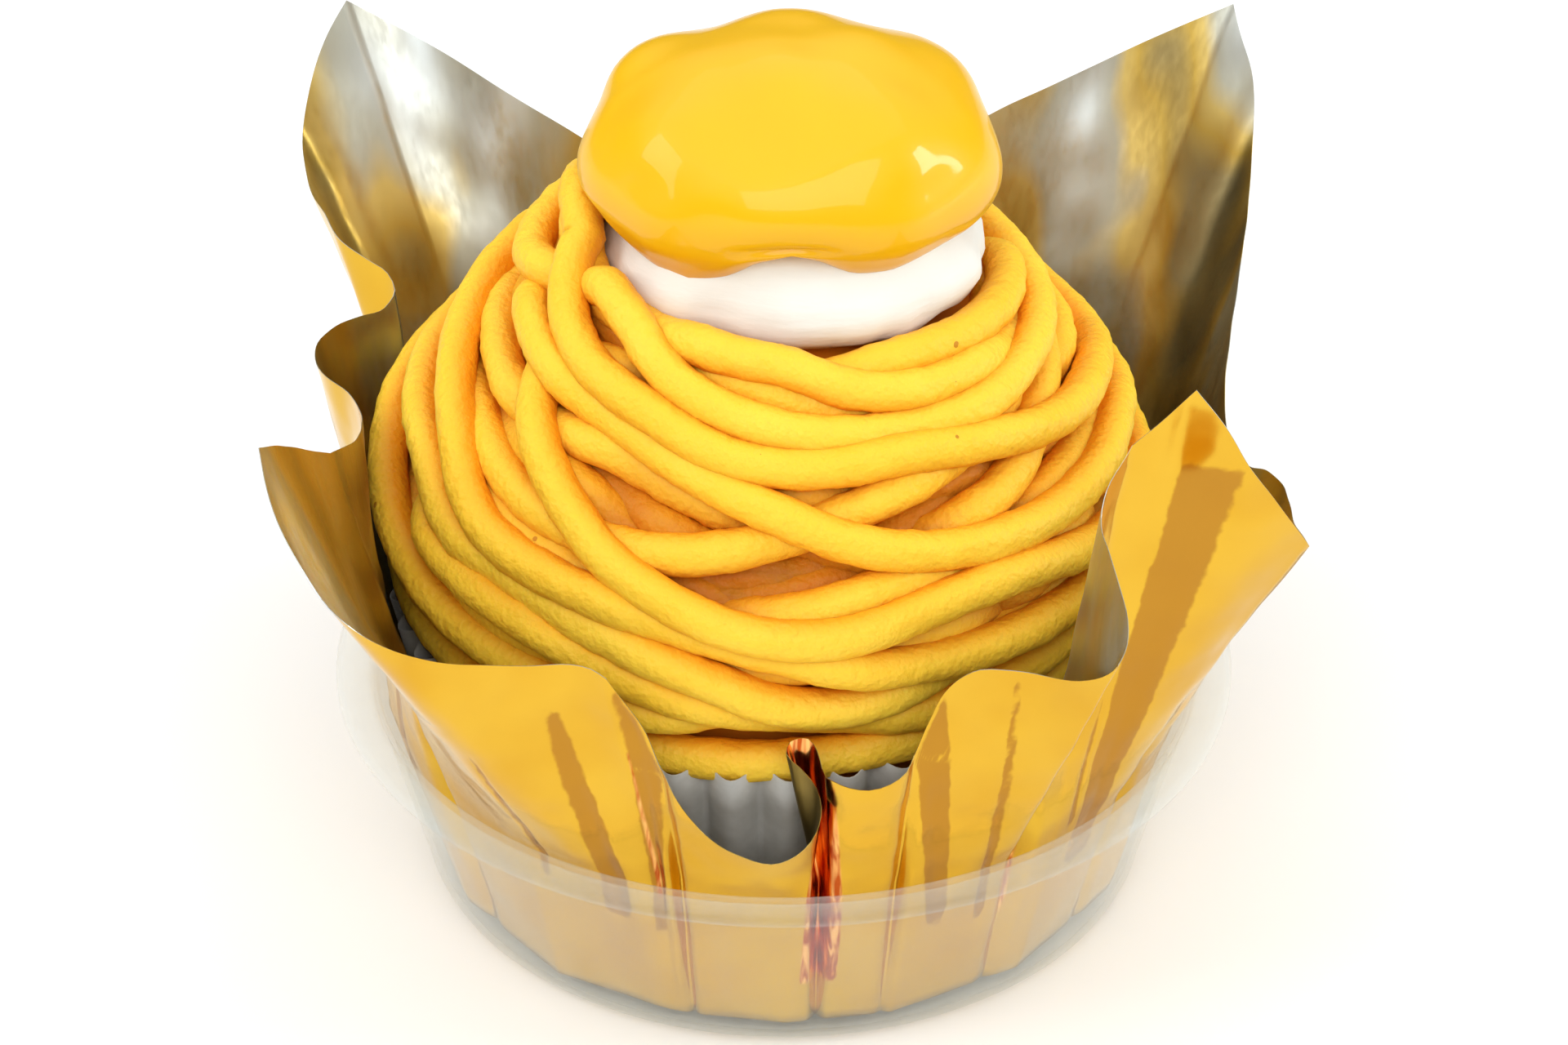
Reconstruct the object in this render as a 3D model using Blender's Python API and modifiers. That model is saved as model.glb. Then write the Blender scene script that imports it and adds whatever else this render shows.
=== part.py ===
"""Mont blanc cake: piped chestnut cream in a fluted paper case, wrapped in a square of gold
foil that is pressed into a clear cup, with a disc of whipped cream and a glazed chestnut on top.

Metres, +Z up, -Y is the front. The origin is the middle of the cup's flat underside.
"""
import math

import bmesh
import bpy
import numpy as np

# Driving dimensions.
CUP_MOUTH_RADIUS = 0.0359
CUP_BASE_RADIUS = 0.0321
CUP_HEIGHT = 0.0187
CUP_FLANGE_RADIUS = 0.0390
CUP_HEEL_HEIGHT = 0.0026
CUP_MOUTH_HEIGHT = CUP_HEIGHT - 0.0007
CUP_WALL = 0.0005
CUP_STEPS = 40

SHEET_THICKNESS = 0.0003
# Shares of the way from the cup's mouth to the sheet's edge.
UPPER_RINGS = (0.3, 0.65, 1.0)

CASE_BASE_RADIUS = 0.0268
CASE_RIM_RADIUS = 0.0310
CASE_HEIGHT = 0.0270
CASE_THICKNESS = 0.0002
CASE_FLUTES = 36
CASE_FLUTE_DEPTH = 0.0006

STRAND_RADIUS = 0.00178
STRAND_SINK = 0.0008
STRAND_POINTS = 18
LAY_SAMPLES = 130

CREAM_RADIUS = 0.0156
CREAM_BASE = 0.0580
CREAM_TOP = 0.0646

CHESTNUT_HALF_WIDTH = 0.0175
CHESTNUT_HALF_DEPTH = 0.0154
CHESTNUT_TOP = 0.0777

GAP = 0.0003

# The cake inside the cup stands a little left of the cup's axis, its topping a little right.
CAKE_X = -0.0019
TOPPING_X = 0.0008

# The heap's outer form: height and radius to the outside of its uppermost strands.
HEAP_HEIGHTS = (0.0275, 0.030, 0.034, 0.038, 0.042, 0.046, 0.050, 0.054, 0.058, 0.0615, 0.064)
HEAP_RADII = (0.0316, 0.0322, 0.0330, 0.0331, 0.0319, 0.0295, 0.0267, 0.0234, 0.0200, 0.0167, 0.0133)
CORE_DEPTH = 0.0042

# One row for each turn of strand, in the order of piping: the azimuth of its lowest point in
# degrees, its lowest and highest height in millimetres, and how sharply it dips (under 1 is a
# narrow dip, over 1 a wide one).
TURNS = (
    (180, 44, 58, 2.0),
    (0, 36, 53, 1.0),
    (-150, 38, 53, 1.0),
    (-70, 46, 58, 1.0),
    (0, 31, 39, 0.7),
    (-90, 30, 33, 1.0),
    (-75, 34, 54, 0.6),
    (-60, 32, 45, 0.65),
    (-60, 38, 54, 1.0),
    (-100, 52, 58, 1.0),
    (20, 45, 54, 0.6),
    (-65, 40, 58, 0.8),
    (-70, 51, 61, 0.8),
    (-15, 43, 61, 1.2),
    (-25, 51, 61, 1.3),
    (29, 51, 60, 1.0),
    (60, 54, 58, 1.0),
)

# The foil sheet's edge, counterclockwise from its front left corner: x, y and z in millimetres, and
# the azimuth in degrees at which the foil below that point leaves the cup's mouth.
SHEET_EDGE = (
    (-39.1, -38.0, 62.6, -135),
    (-38.0, -41.2, 59.1, -131),
    (-35.6, -44.0, 55.4, -128),
    (-33.4, -45.0, 52.4, -125),
    (-30.1, -43.5, 48.5, -121),
    (-27.9, -41.5, 46.1, -118),
    (-25.1, -39.5, 44.1, -116),
    (-22.5, -38.0, 43.0, -114),
    (-19.5, -37.0, 42.2, -112),
    (-14.9, -37.0, 41.9, -108.5),
    (-13.7, -37.4, 41.3, -107.5),
    (-12.1, -36.6, 38.1, -106.5),
    (-10.8, -36.4, 35.3, -105.5),
    (-9.6, -36.2, 31.6, -104.5),
    (-8.1, -36.4, 28.1, -102),
    (-5.8, -36.7, 25.2, -98.5),
    (-1.0, -37.2, 23.2, -92),
    (2.3, -36.7, 25.8, -87.2),
    (1.6, -35.2, 31.7, -85.6),
    (3.3, -36.0, 30.9, -83.0),
    (6.7, -36.9, 30.3, -79),
    (10.0, -35.4, 31.8, -75),
    (11.5, -35.2, 36.0, -73.3),
    (12.5, -35.9, 38.9, -72),
    (15.2, -36.5, 41.5, -68.5),
    (18.9, -36.9, 41.5, -64),
    (20.8, -37.6, 41.5, -62),
    (22.6, -38.9, 42.2, -60.5),
    (24.3, -40.2, 43.4, -59.5),
    (25.4, -41.3, 45.2, -58.6),
    (26.0, -41.8, 47.4, -57.8),
    (25.9, -41.6, 49.6, -57.2),
    (25.3, -40.2, 51.6, -56.6),
    (24.6, -37.4, 52.9, -56),
    (24.2, -34.6, 53.5, -55),
    (24.6, -32.8, 55.6, -53.6),
    (26.5, -31.1, 58.6, -51),
    (28.6, -31.0, 60.4, -49),
    (31.1, -31.8, 63.9, -46),
    (33.3, -32.4, 61.2, -43.8),
    (35.4, -32.4, 57.4, -42),
    (37.6, -31.4, 54.0, -40),
    (41.2, -27.5, 47.1, -34),
    (40.7, -22.0, 45.7, -28),
    (40.8, -15.0, 44.4, -21),
    (39.8, -9.0, 42.6, -14),
    (38.9, -5.0, 40.5, -8),
    (38.2, 0.0, 39.0, -1),
    (37.9, 5.0, 39.8, 7),
    (38.8, 12.0, 42.6, 17),
    (40.7, 22.0, 46.6, 28),
    (42.2, 33.0, 52.0, 37),
    (42.1, 35.8, 56.1, 40.5),
    (40.3, 38.8, 62.1, 45),
    (33.5, 41.5, 57.4, 50),
    (26.0, 43.0, 52.6, 57),
    (18.9, 43.4, 48.6, 64),
    (12.0, 41.5, 45.0, 71),
    (6.0, 38.6, 42.0, 79),
    (0.0, 37.5, 41.0, 90),
    (-7.0, 38.5, 41.5, 101),
    (-14.0, 40.6, 44.5, 110),
    (-19.6, 41.6, 47.9, 116),
    (-25.4, 42.6, 51.3, 121),
    (-30.9, 42.0, 55.6, 127),
    (-39.3, 39.2, 62.3, 135),
    (-41.4, 37.6, 59.0, 137),
    (-42.4, 36.3, 56.4, 139),
    (-43.0, 34.6, 54.0, 140.5),
    (-43.2, 33.0, 52.0, 142),
    (-42.9, 30.0, 50.7, 144.5),
    (-41.9, 26.0, 49.6, 147.5),
    (-40.6, 23.0, 49.4, 150.5),
    (-39.3, 21.0, 48.1, 153),
    (-36.6, 19.0, 46.9, 155.5),
    (-34.8, 18.0, 46.1, 157),
    (-34.1, 17.0, 45.0, 158.5),
    (-35.0, 15.5, 44.1, 160.5),
    (-36.9, 13.5, 44.4, 163),
    (-38.9, 11.0, 44.8, 166),
    (-40.1, 8.0, 44.9, 169.5),
    (-40.0, 5.0, 45.0, 173.5),
    (-38.7, 2.0, 45.1, 177.5),
    (-36.4, -1.0, 45.3, 182),
    (-34.9, -5.0, 46.1, 188),
    (-34.3, -10.0, 47.7, 196),
    (-34.4, -17.0, 50.4, 205),
    (-35.5, -25.0, 54.1, 214.5),
    (-37.2, -29.0, 57.0, 218),
    (-38.3, -33.5, 60.0, 221.5),
)


def new_part(name, mesh, collection, color, roughness, metallic=0.0, alpha=1.0):
    """A named object in the collection, with a Principled material of its own."""
    material = bpy.data.materials.new(name)
    material.use_nodes = True
    shader = material.node_tree.nodes["Principled BSDF"]
    shader.inputs["Base Color"].default_value = (*color, 1.0)
    shader.inputs["Roughness"].default_value = roughness
    shader.inputs["Metallic"].default_value = metallic
    shader.inputs["Alpha"].default_value = alpha
    mesh.materials.clear()
    mesh.materials.append(material)
    mesh.shade_smooth()
    mesh.set_sharp_from_angle(angle=math.radians(40))
    part = bpy.data.objects.new(name, mesh)
    collection.objects.link(part)
    return part


def evaluated_mesh(source):
    """The mesh of an object with its modifiers applied; the object itself is removed."""
    bpy.context.view_layer.update()
    graph = bpy.context.evaluated_depsgraph_get()
    mesh = bpy.data.meshes.new_from_object(source.evaluated_get(graph))
    bpy.data.objects.remove(source)
    return mesh


def turned(name, profile, steps, wall=0.0):
    """A (radius, height) profile turned about Z, hollowed inwards to a wall if one is given."""
    line = bpy.data.meshes.new(name)
    edges = [(i, i + 1) for i in range(len(profile) - 1)]
    line.from_pydata([(radius, 0, height) for radius, height in profile], edges, [])
    guide = bpy.data.objects.new(name, line)
    bpy.context.scene.collection.objects.link(guide)
    screw = guide.modifiers.new("Turn", "SCREW")
    screw.steps = steps
    screw.render_steps = steps
    screw.use_merge_vertices = True
    screw.merge_threshold = 0.00001
    if wall:
        shell = guide.modifiers.new("Wall", "SOLIDIFY")
        shell.thickness = wall
        shell.offset = -1
        shell.use_even_offset = True
    return evaluated_mesh(guide)


def face_outwards(mesh):
    """Merge loose poles and point every face of a closed mesh outwards."""
    work = bmesh.new()
    work.from_mesh(mesh)
    bmesh.ops.remove_doubles(work, verts=work.verts, dist=0.00001)
    bmesh.ops.recalc_face_normals(work, faces=work.faces)
    work.to_mesh(mesh)
    work.free()


def cup_inner_radius(height):
    """Inside radius of the cup's tapered wall."""
    share = min((height - CUP_HEEL_HEIGHT) / (CUP_MOUTH_HEIGHT - CUP_HEEL_HEIGHT), 1)
    return CUP_BASE_RADIUS + (CUP_MOUTH_RADIUS - CUP_BASE_RADIUS) * share - CUP_WALL


def heap_radius(height):
    """Radius to the outside of the piled strands."""
    return float(np.interp(height, HEAP_HEIGHTS, HEAP_RADII))


def case_radius(height):
    """Mean radius of the paper case's wall."""
    share = min(max(height / CASE_HEIGHT, 0), 1)
    return CASE_BASE_RADIUS + (CASE_RIM_RADIUS - CASE_BASE_RADIUS) * share


def build_cup(collection):
    """Thermoformed cup: flat base, rounded heel, tapered wall and an almost flat flange."""
    profile = (
        (CUP_FLANGE_RADIUS, CUP_HEIGHT + 0.0003),
        (CUP_MOUTH_RADIUS + 0.0006, CUP_HEIGHT),
        (CUP_MOUTH_RADIUS, CUP_MOUTH_HEIGHT),
        (CUP_BASE_RADIUS, CUP_HEEL_HEIGHT),
        (CUP_BASE_RADIUS - 0.0006, 0.0009),
        (CUP_BASE_RADIUS - 0.0020, 0.0),
        (0.0, 0.0),
    )
    mesh = turned("clear_cup", profile, CUP_STEPS, CUP_WALL)
    face_outwards(mesh)
    return new_part("clear_cup", mesh, collection, (0.85, 0.87, 0.88), 0.08, alpha=0.25)


def foil_point(ring, spoke):
    """Where a ring of the sheet lies on one of its spokes: on the floor, the wall or above it."""
    clearance = GAP + SHEET_THICKNESS / 2 + 0.0003
    edge_x, edge_y, edge_z, foot = SHEET_EDGE[spoke]
    turn = math.radians(foot)
    if ring == 1:
        radius = CUP_BASE_RADIUS - 0.0032
        height = CUP_WALL + GAP + SHEET_THICKNESS / 2 + 0.0001
        x, y = radius * math.cos(turn), radius * math.sin(turn)
        return x, y, height
    if ring <= 4:
        height = CUP_HEEL_HEIGHT + (CUP_MOUTH_HEIGHT - CUP_HEEL_HEIGHT) * (ring - 2) / 2
        radius = cup_inner_radius(height) - clearance
        x, y = radius * math.cos(turn), radius * math.sin(turn)
    else:
        share = UPPER_RINGS[ring - 5]
        radius = cup_inner_radius(CUP_MOUTH_HEIGHT) - clearance
        x = radius * math.cos(turn) * (1 - share) + edge_x / 1000 * share
        y = radius * math.sin(turn) * (1 - share) + edge_y / 1000 * share
        height = CUP_MOUTH_HEIGHT * (1 - share) + edge_z / 1000 * share
    inside = case_radius(height) + CASE_FLUTE_DEPTH
    if height > CASE_HEIGHT - 0.001:
        inside = heap_radius(height) + 0.0016
    inside += GAP + SHEET_THICKNESS
    reach = math.hypot(x - CAKE_X, y)
    if reach < inside:
        x = CAKE_X + (x - CAKE_X) * inside / reach
        y = y * inside / reach
    return x, y, height


def build_foil(collection):
    """A square sheet pressed into the cup: flat floor, folded wall, corners standing up."""
    spokes = len(SHEET_EDGE)
    ring_count = 5 + len(UPPER_RINGS)
    flat = turned("foil_wrapper", [(ring * 0.01, 0) for ring in range(ring_count)], spokes)
    for vertex in flat.vertices:
        ring = round(math.hypot(vertex.co.x, vertex.co.y) / 0.01)
        if ring == 0:
            vertex.co = (0, 0, CUP_WALL + GAP + SHEET_THICKNESS / 2 + 0.0001)
            continue
        spoke = round(math.atan2(vertex.co.y, vertex.co.x) / (2 * math.pi) * spokes) % spokes
        vertex.co = foil_point(ring, spoke)

    guide = bpy.data.objects.new("foil_wrapper", flat)
    bpy.context.scene.collection.objects.link(guide)
    split = guide.modifiers.new("Split", "TRIANGULATE")
    split.quad_method = "SHORTEST_DIAGONAL"
    shell = guide.modifiers.new("Sheet", "SOLIDIFY")
    shell.thickness = SHEET_THICKNESS
    shell.offset = 0
    shell.use_quality_normals = True
    mesh = evaluated_mesh(guide)
    face_outwards(mesh)
    return new_part("foil_wrapper", mesh, collection, (0.90, 0.62, 0.10), 0.2, metallic=1.0)


def build_case(collection):
    """Fluted paper case: a flat floor and a wall of sharp flutes that deepen to the rim."""
    floor_height = CUP_WALL + SHEET_THICKNESS + 2 * GAP + 0.0004
    rings = (0.0, 0.1, 1.0)
    profile = [(0.0, 0.0)] + [(0.01 + 0.01 * ring, 0.0) for ring in range(len(rings))]
    flat = turned("paper_case", profile, CASE_FLUTES * 2)
    for vertex in flat.vertices:
        ring = round(math.hypot(vertex.co.x, vertex.co.y) / 0.01) - 1
        if ring < 0:
            vertex.co = (CAKE_X, 0, floor_height)
            continue
        turn = math.atan2(vertex.co.y, vertex.co.x)
        flute = math.cos(turn * CASE_FLUTES)
        height = floor_height + (CASE_HEIGHT - floor_height) * rings[ring]
        radius = case_radius(height) + CASE_FLUTE_DEPTH * flute * rings[ring]
        if ring == 0:
            radius -= 0.0012
        if ring == len(rings) - 1:
            height += 0.0006 * flute
        vertex.co = (CAKE_X + radius * math.cos(turn), radius * math.sin(turn), height)

    guide = bpy.data.objects.new("paper_case", flat)
    bpy.context.scene.collection.objects.link(guide)
    shell = guide.modifiers.new("Paper", "SOLIDIFY")
    shell.thickness = CASE_THICKNESS
    shell.offset = 0
    mesh = evaluated_mesh(guide)
    face_outwards(mesh)
    return new_part("paper_case", mesh, collection, (0.80, 0.80, 0.78), 0.5)


def lay_turns():
    """Centre lines of the strands, each laid in turn on the core and on those below it."""
    turns = np.linspace(0, 2 * math.pi, LAY_SAMPLES, endpoint=False)
    width = 2 * STRAND_RADIUS
    laid = np.empty((0, 3))
    lines = []
    for low_azimuth, low, high, dip in TURNS:
        swing = (1 - np.cos(turns - math.radians(low_azimuth))) / 2
        heights = (low + (high - low) * swing ** dip) / 1000
        radii = np.interp(heights, HEAP_HEIGHTS, HEAP_RADII)
        slopes = np.gradient(np.array(HEAP_RADII), np.array(HEAP_HEIGHTS))
        slope = np.interp(heights, HEAP_HEIGHTS, slopes)
        outwards = np.stack([np.cos(turns), np.sin(turns), -slope], axis=1)
        outwards /= np.linalg.norm(outwards, axis=1, keepdims=True)
        base = np.stack([radii * np.cos(turns), radii * np.sin(turns), heights], axis=1)
        base -= outwards * (CORE_DEPTH - STRAND_RADIUS + STRAND_SINK)
        lift = np.zeros(LAY_SAMPLES)
        if len(laid):
            across = laid[None, :, :] - base[:, None, :]
            above = np.einsum("ijk,ik->ij", across, outwards)
            aside = np.sqrt(np.maximum((across ** 2).sum(axis=2) - above ** 2, 0))
            near = aside < width * 0.9
            needed = np.where(near, above + np.sqrt(np.maximum((width * 0.9) ** 2 - aside ** 2, 0)), 0)
            lift = np.maximum(needed.max(axis=1), 0)
        lift = np.minimum(lift, CORE_DEPTH - 2 * STRAND_RADIUS + STRAND_SINK + 0.0010)
        for _ in range(4):
            lift = (np.roll(lift, 1) + 2 * lift + np.roll(lift, -1)) / 4
        line = base + outwards * lift[:, None]
        line[:, 0] += CAKE_X
        shift = np.stack([line[:, 0] - TOPPING_X, line[:, 1]], axis=1)
        reach = np.linalg.norm(shift, axis=1)
        keep = CREAM_RADIUS + STRAND_RADIUS + 2 * GAP
        scale = np.where((reach < keep) & (line[:, 2] > CREAM_BASE - 0.003), keep / reach, 1)
        line[:, 0] = TOPPING_X + shift[:, 0] * scale
        line[:, 1] = shift[:, 1] * scale
        laid = np.concatenate([laid, line - np.array([CAKE_X, 0, 0])])
        lines.append(line)
    return lines


def strand_object(line, collection):
    """One closed turn of strand as a round tube mesh."""
    curve = bpy.data.curves.new("strand", "CURVE")
    curve.dimensions = "3D"
    curve.bevel_depth = STRAND_RADIUS
    curve.bevel_resolution = 1
    spline = curve.splines.new("POLY")
    picks = np.linspace(0, LAY_SAMPLES, STRAND_POINTS, endpoint=False).astype(int)
    spline.points.add(len(picks) - 1)
    for point, pick in zip(spline.points, picks):
        point.co = (*line[pick], 1)
    spline.use_cyclic_u = True
    guide = bpy.data.objects.new("strand", curve)
    bpy.context.scene.collection.objects.link(guide)
    mesh = evaluated_mesh(guide)
    face_outwards(mesh)
    strand = bpy.data.objects.new("strand", mesh)
    collection.objects.link(strand)
    return strand


def build_heap(collection, cutters):
    """Chestnut cream: a solid core that fills the case, with the piped strands fused on."""
    bottom = CUP_WALL + SHEET_THICKNESS + CASE_THICKNESS + 3 * GAP + 0.0005
    inset = CASE_FLUTE_DEPTH + CASE_THICKNESS / 2 + GAP + 0.0002
    top = CREAM_BASE - GAP
    profile = [(0.0, top), (CREAM_RADIUS - 0.0015, top)]
    for height, radius in reversed(tuple(zip(HEAP_HEIGHTS, HEAP_RADII))):
        if height < top - 0.001:
            profile.append((min(radius - CORE_DEPTH, 0.0292), height))
    profile.append((case_radius(CASE_HEIGHT * 0.8) - inset, CASE_HEIGHT * 0.8))
    profile.append((case_radius(0.005) - inset, 0.005))
    profile.append((case_radius(bottom) - inset - 0.0016, bottom))
    profile.append((0.0, bottom))
    core_mesh = turned("chestnut_cream", profile, 36)
    face_outwards(core_mesh)
    for vertex in core_mesh.vertices:
        vertex.co.x += CAKE_X

    for line in lay_turns():
        strand_object(line, cutters)
    guide = bpy.data.objects.new("chestnut_cream", core_mesh)
    bpy.context.scene.collection.objects.link(guide)
    fuse = guide.modifiers.new("Fuse strands", "BOOLEAN")
    fuse.operation = "UNION"
    fuse.operand_type = "COLLECTION"
    fuse.collection = cutters
    fuse.solver = "MANIFOLD"
    mesh = evaluated_mesh(guide)
    for strand in list(cutters.objects):
        bpy.data.objects.remove(strand)
    drop_scraps(mesh)
    return new_part("chestnut_cream", mesh, collection, (0.93, 0.62, 0.09), 0.5)


def drop_scraps(mesh):
    """Keep only the largest closed shell: loose scraps go and sealed hollows fill."""
    work = bmesh.new()
    work.from_mesh(mesh)
    waiting = set(work.faces)
    shells = []
    while waiting:
        shell = [waiting.pop()]
        for face in shell:
            for edge in face.edges:
                for neighbour in edge.link_faces:
                    if neighbour in waiting:
                        waiting.remove(neighbour)
                        shell.append(neighbour)
        shells.append(shell)
    largest = max(shells, key=len)
    keep = set(largest)
    bmesh.ops.delete(work, geom=[face for face in work.faces if face not in keep], context="FACES")
    work.to_mesh(mesh)
    work.free()


def build_cream(collection):
    """A thick disc of whipped cream with a soft, slightly uneven side."""
    profile = (
        (0.0, CREAM_TOP),
        (CREAM_RADIUS - 0.0030, CREAM_TOP),
        (CREAM_RADIUS - 0.0008, CREAM_TOP - 0.0008),
        (CREAM_RADIUS, CREAM_TOP - 0.0026),
        (CREAM_RADIUS - 0.0002, CREAM_BASE + 0.0016),
        (CREAM_RADIUS - 0.0012, CREAM_BASE),
        (0.0, CREAM_BASE),
    )
    mesh = turned("whipped_cream", profile, 24)
    face_outwards(mesh)
    for vertex in mesh.vertices:
        turn = math.atan2(vertex.co.y, vertex.co.x)
        ease = 1 - 0.018 * (1 + math.cos(3 * turn + 0.6)) - 0.010 * (1 + math.cos(5 * turn))
        vertex.co.x = TOPPING_X + vertex.co.x * ease
        vertex.co.y *= ease
    return new_part("whipped_cream", mesh, collection, (0.94, 0.92, 0.86), 0.5)


def build_chestnut(collection):
    """A whole glazed chestnut lying on its side: broad, lumpy and flat underneath."""
    bottom = CREAM_TOP + GAP
    middle = bottom + (CHESTNUT_TOP - bottom) * 0.30
    work = bmesh.new()
    bmesh.ops.create_uvsphere(work, u_segments=20, v_segments=11, radius=1.0)
    for vertex in work.verts:
        x, y, z = vertex.co
        turn = math.atan2(y, x)
        swell = 1 + 0.045 * math.cos(2 * turn + 0.4) + 0.035 * math.cos(3 * turn + 2.2)
        swell += 0.02 * math.cos(5 * turn)
        flank = math.hypot(x, y) ** 0.8 * swell
        height = math.copysign(abs(z) ** 0.9, z)
        reach = CHESTNUT_TOP - middle if height > 0 else middle - bottom + 0.004
        lift = middle + height * reach
        vertex.co.x = TOPPING_X + CHESTNUT_HALF_WIDTH * flank * math.cos(turn)
        vertex.co.y = CHESTNUT_HALF_DEPTH * flank * math.sin(turn)
        vertex.co.z = max(lift, bottom)
    mesh = bpy.data.meshes.new("glazed_chestnut")
    work.to_mesh(mesh)
    work.free()
    face_outwards(mesh)
    return new_part("glazed_chestnut", mesh, collection, (0.95, 0.60, 0.04), 0.12)


def main():
    for old in list(bpy.data.objects):
        bpy.data.objects.remove(old)
    cake = bpy.data.collections.new("mont_blanc_cake")
    strands = bpy.data.collections.new("strands_to_fuse")
    bpy.context.scene.collection.children.link(cake)
    bpy.context.scene.collection.children.link(strands)
    build_cup(cake)
    build_foil(cake)
    build_case(cake)
    build_heap(cake, strands)
    build_cream(cake)
    build_chestnut(cake)


main()
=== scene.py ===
import math

import bpy
import numpy as np
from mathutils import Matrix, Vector
from mathutils import noise as rough


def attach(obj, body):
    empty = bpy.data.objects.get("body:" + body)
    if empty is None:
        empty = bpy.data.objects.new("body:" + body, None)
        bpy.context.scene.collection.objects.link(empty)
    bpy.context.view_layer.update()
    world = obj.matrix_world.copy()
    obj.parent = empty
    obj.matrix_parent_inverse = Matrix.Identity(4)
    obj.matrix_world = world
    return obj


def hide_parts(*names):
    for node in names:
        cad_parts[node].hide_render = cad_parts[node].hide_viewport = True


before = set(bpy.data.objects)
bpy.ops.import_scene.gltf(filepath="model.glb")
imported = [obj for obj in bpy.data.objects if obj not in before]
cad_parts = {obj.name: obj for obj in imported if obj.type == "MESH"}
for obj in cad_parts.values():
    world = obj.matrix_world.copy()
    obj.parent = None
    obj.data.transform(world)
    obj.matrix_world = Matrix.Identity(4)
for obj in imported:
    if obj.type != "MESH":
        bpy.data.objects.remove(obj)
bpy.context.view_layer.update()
scene = bpy.context.scene
MM = 0.001


# Clear cup
# The dessert cup that everything stands in. It is thermoformed from clear polystyrene sheet, so the
# wall is even, the heel is rounded and the mouth ends in a narrow flange with its edge turned down.
CUP_OUTSIDE = (
    (28.8, 0), (30.1, 0.08), (31, 0.38), (31.6, 0.95), (31.95, 1.75), (32.15, 2.8), (35.75, 17.3),
    (35.95, 18), (36.25, 18.45), (36.7, 18.65), (38.3, 18.75), (38.65, 18.65), (38.75, 18.3),
)
CUP_EDGE = ((38.9, 18.2), (39.05, 18.3), (39.05, 18.8))
CUP_INSIDE = (
    (38.85, 19.1), (38.4, 19.25), (36.5, 19.15), (35.8, 18.8), (35.5, 18.15), (35.3, 17.4),
    (31.68, 2.9), (31.45, 1.95), (31.1, 1.3), (30.6, 0.8), (29.9, 0.56), (28.8, 0.5),
)
CUP_STEPS = 200


def linear(code):
    """The linear colour of an sRGB hex value such as F0C030."""
    parts = [int(code[i : i + 2], 16) / 255 for i in (0, 2, 4)]
    return (*[c / 12.92 if c <= 0.04045 else ((c + 0.055) / 1.055) ** 2.4 for c in parts], 1.0)


def add_node(tree, kind, settings=None, values=None, links=None):
    """Adds a node, sets its properties and its inputs, and links other sockets into it."""
    node = tree.nodes.new(kind)
    for name, value in (settings or {}).items():
        setattr(node, name, value)
    for name, value in (values or {}).items():
        node.inputs[name].default_value = value
    for name, socket in (links or {}).items():
        tree.links.new(socket, node.inputs[name])
    return node


def start_material(name, **values):
    """A material with its tree and its shader, whose even values are set on the shader itself."""
    material = bpy.data.materials.new(name)
    material.use_nodes = True
    tree = material.node_tree
    shader = tree.nodes["Principled BSDF"]
    for label, value in values.items():
        shader.inputs[label.replace("_", " ")].default_value = value
    return material, tree, shader


def feed(tree, shader, **sockets):
    """Links sockets into the shader's inputs."""
    for label, socket in sockets.items():
        tree.links.new(socket, shader.inputs[label.replace("_", " ")])


def place_in(tree, scale=None, turn=(0, 0, 0)):
    """The place of a point in metres, or that place scaled, so that a pattern is drawn out one way."""
    place = add_node(tree, "ShaderNodeTexCoord").outputs["Object"]
    if scale is None:
        return place
    values = {"Scale": scale, "Rotation": turn}
    return add_node(tree, "ShaderNodeMapping", {}, values, {"Vector": place}).outputs["Vector"]


def noise(tree, place, scale=1.0, detail=2.0, **values):
    """A cloudy field between 0 and 1."""
    values = {"Scale": scale, "Detail": detail, **values}
    return add_node(tree, "ShaderNodeTexNoise", {}, values, {"Vector": place}).outputs["Fac"]


def spread(tree, value, low, high, to_low=0.0, to_high=1.0, **settings):
    """A value's range drawn out to another range, and held at its ends."""
    values = {"From Min": low, "From Max": high, "To Min": to_low, "To Max": to_high}
    return add_node(tree, "ShaderNodeMapRange", settings, values, {"Value": value}).outputs["Result"]


def reckon(tree, operation, *inputs, kind="ShaderNodeMath", **settings):
    """A value worked out from sockets and fixed values, in the order of the node's inputs."""
    node = add_node(tree, kind, {"operation": operation, **settings})
    for number, given in enumerate(inputs):
        if isinstance(given, bpy.types.NodeSocket):
            tree.links.new(given, node.inputs[number])
        else:
            node.inputs[number].default_value = given
    return node.outputs[0]


def blend(tree, share, low, high):
    """One colour turned into another by a share. Each is a hex value or a socket."""
    mix = add_node(tree, "ShaderNodeMix", {"data_type": "RGBA"}, {}, {0: share})
    for number, colour in ((6, low), (7, high)):
        if isinstance(colour, str):
            mix.inputs[number].default_value = linear(colour)
        else:
            tree.links.new(colour, mix.inputs[number])
    return mix.outputs[2]


def relief(tree, height, strength, depth, **under):
    """The normal of a surface with a relief in metres, on another normal if one is given."""
    values = {"Strength": strength, "Distance": depth}
    return add_node(tree, "ShaderNodeBump", {}, values, {"Height": height, **under}).outputs["Normal"]


def new_piece(name, points, faces, *materials):
    """A smooth mesh object in the scene, from points in millimetres."""
    mesh = bpy.data.meshes.new(name)
    mesh.from_pydata([tuple(float(c) * MM for c in p) for p in points], [], faces)
    for material in materials:
        mesh.materials.append(material)
    mesh.shade_smooth()
    mesh.update()
    piece = bpy.data.objects.new(name, mesh)
    scene.collection.objects.link(piece)
    return piece


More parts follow.
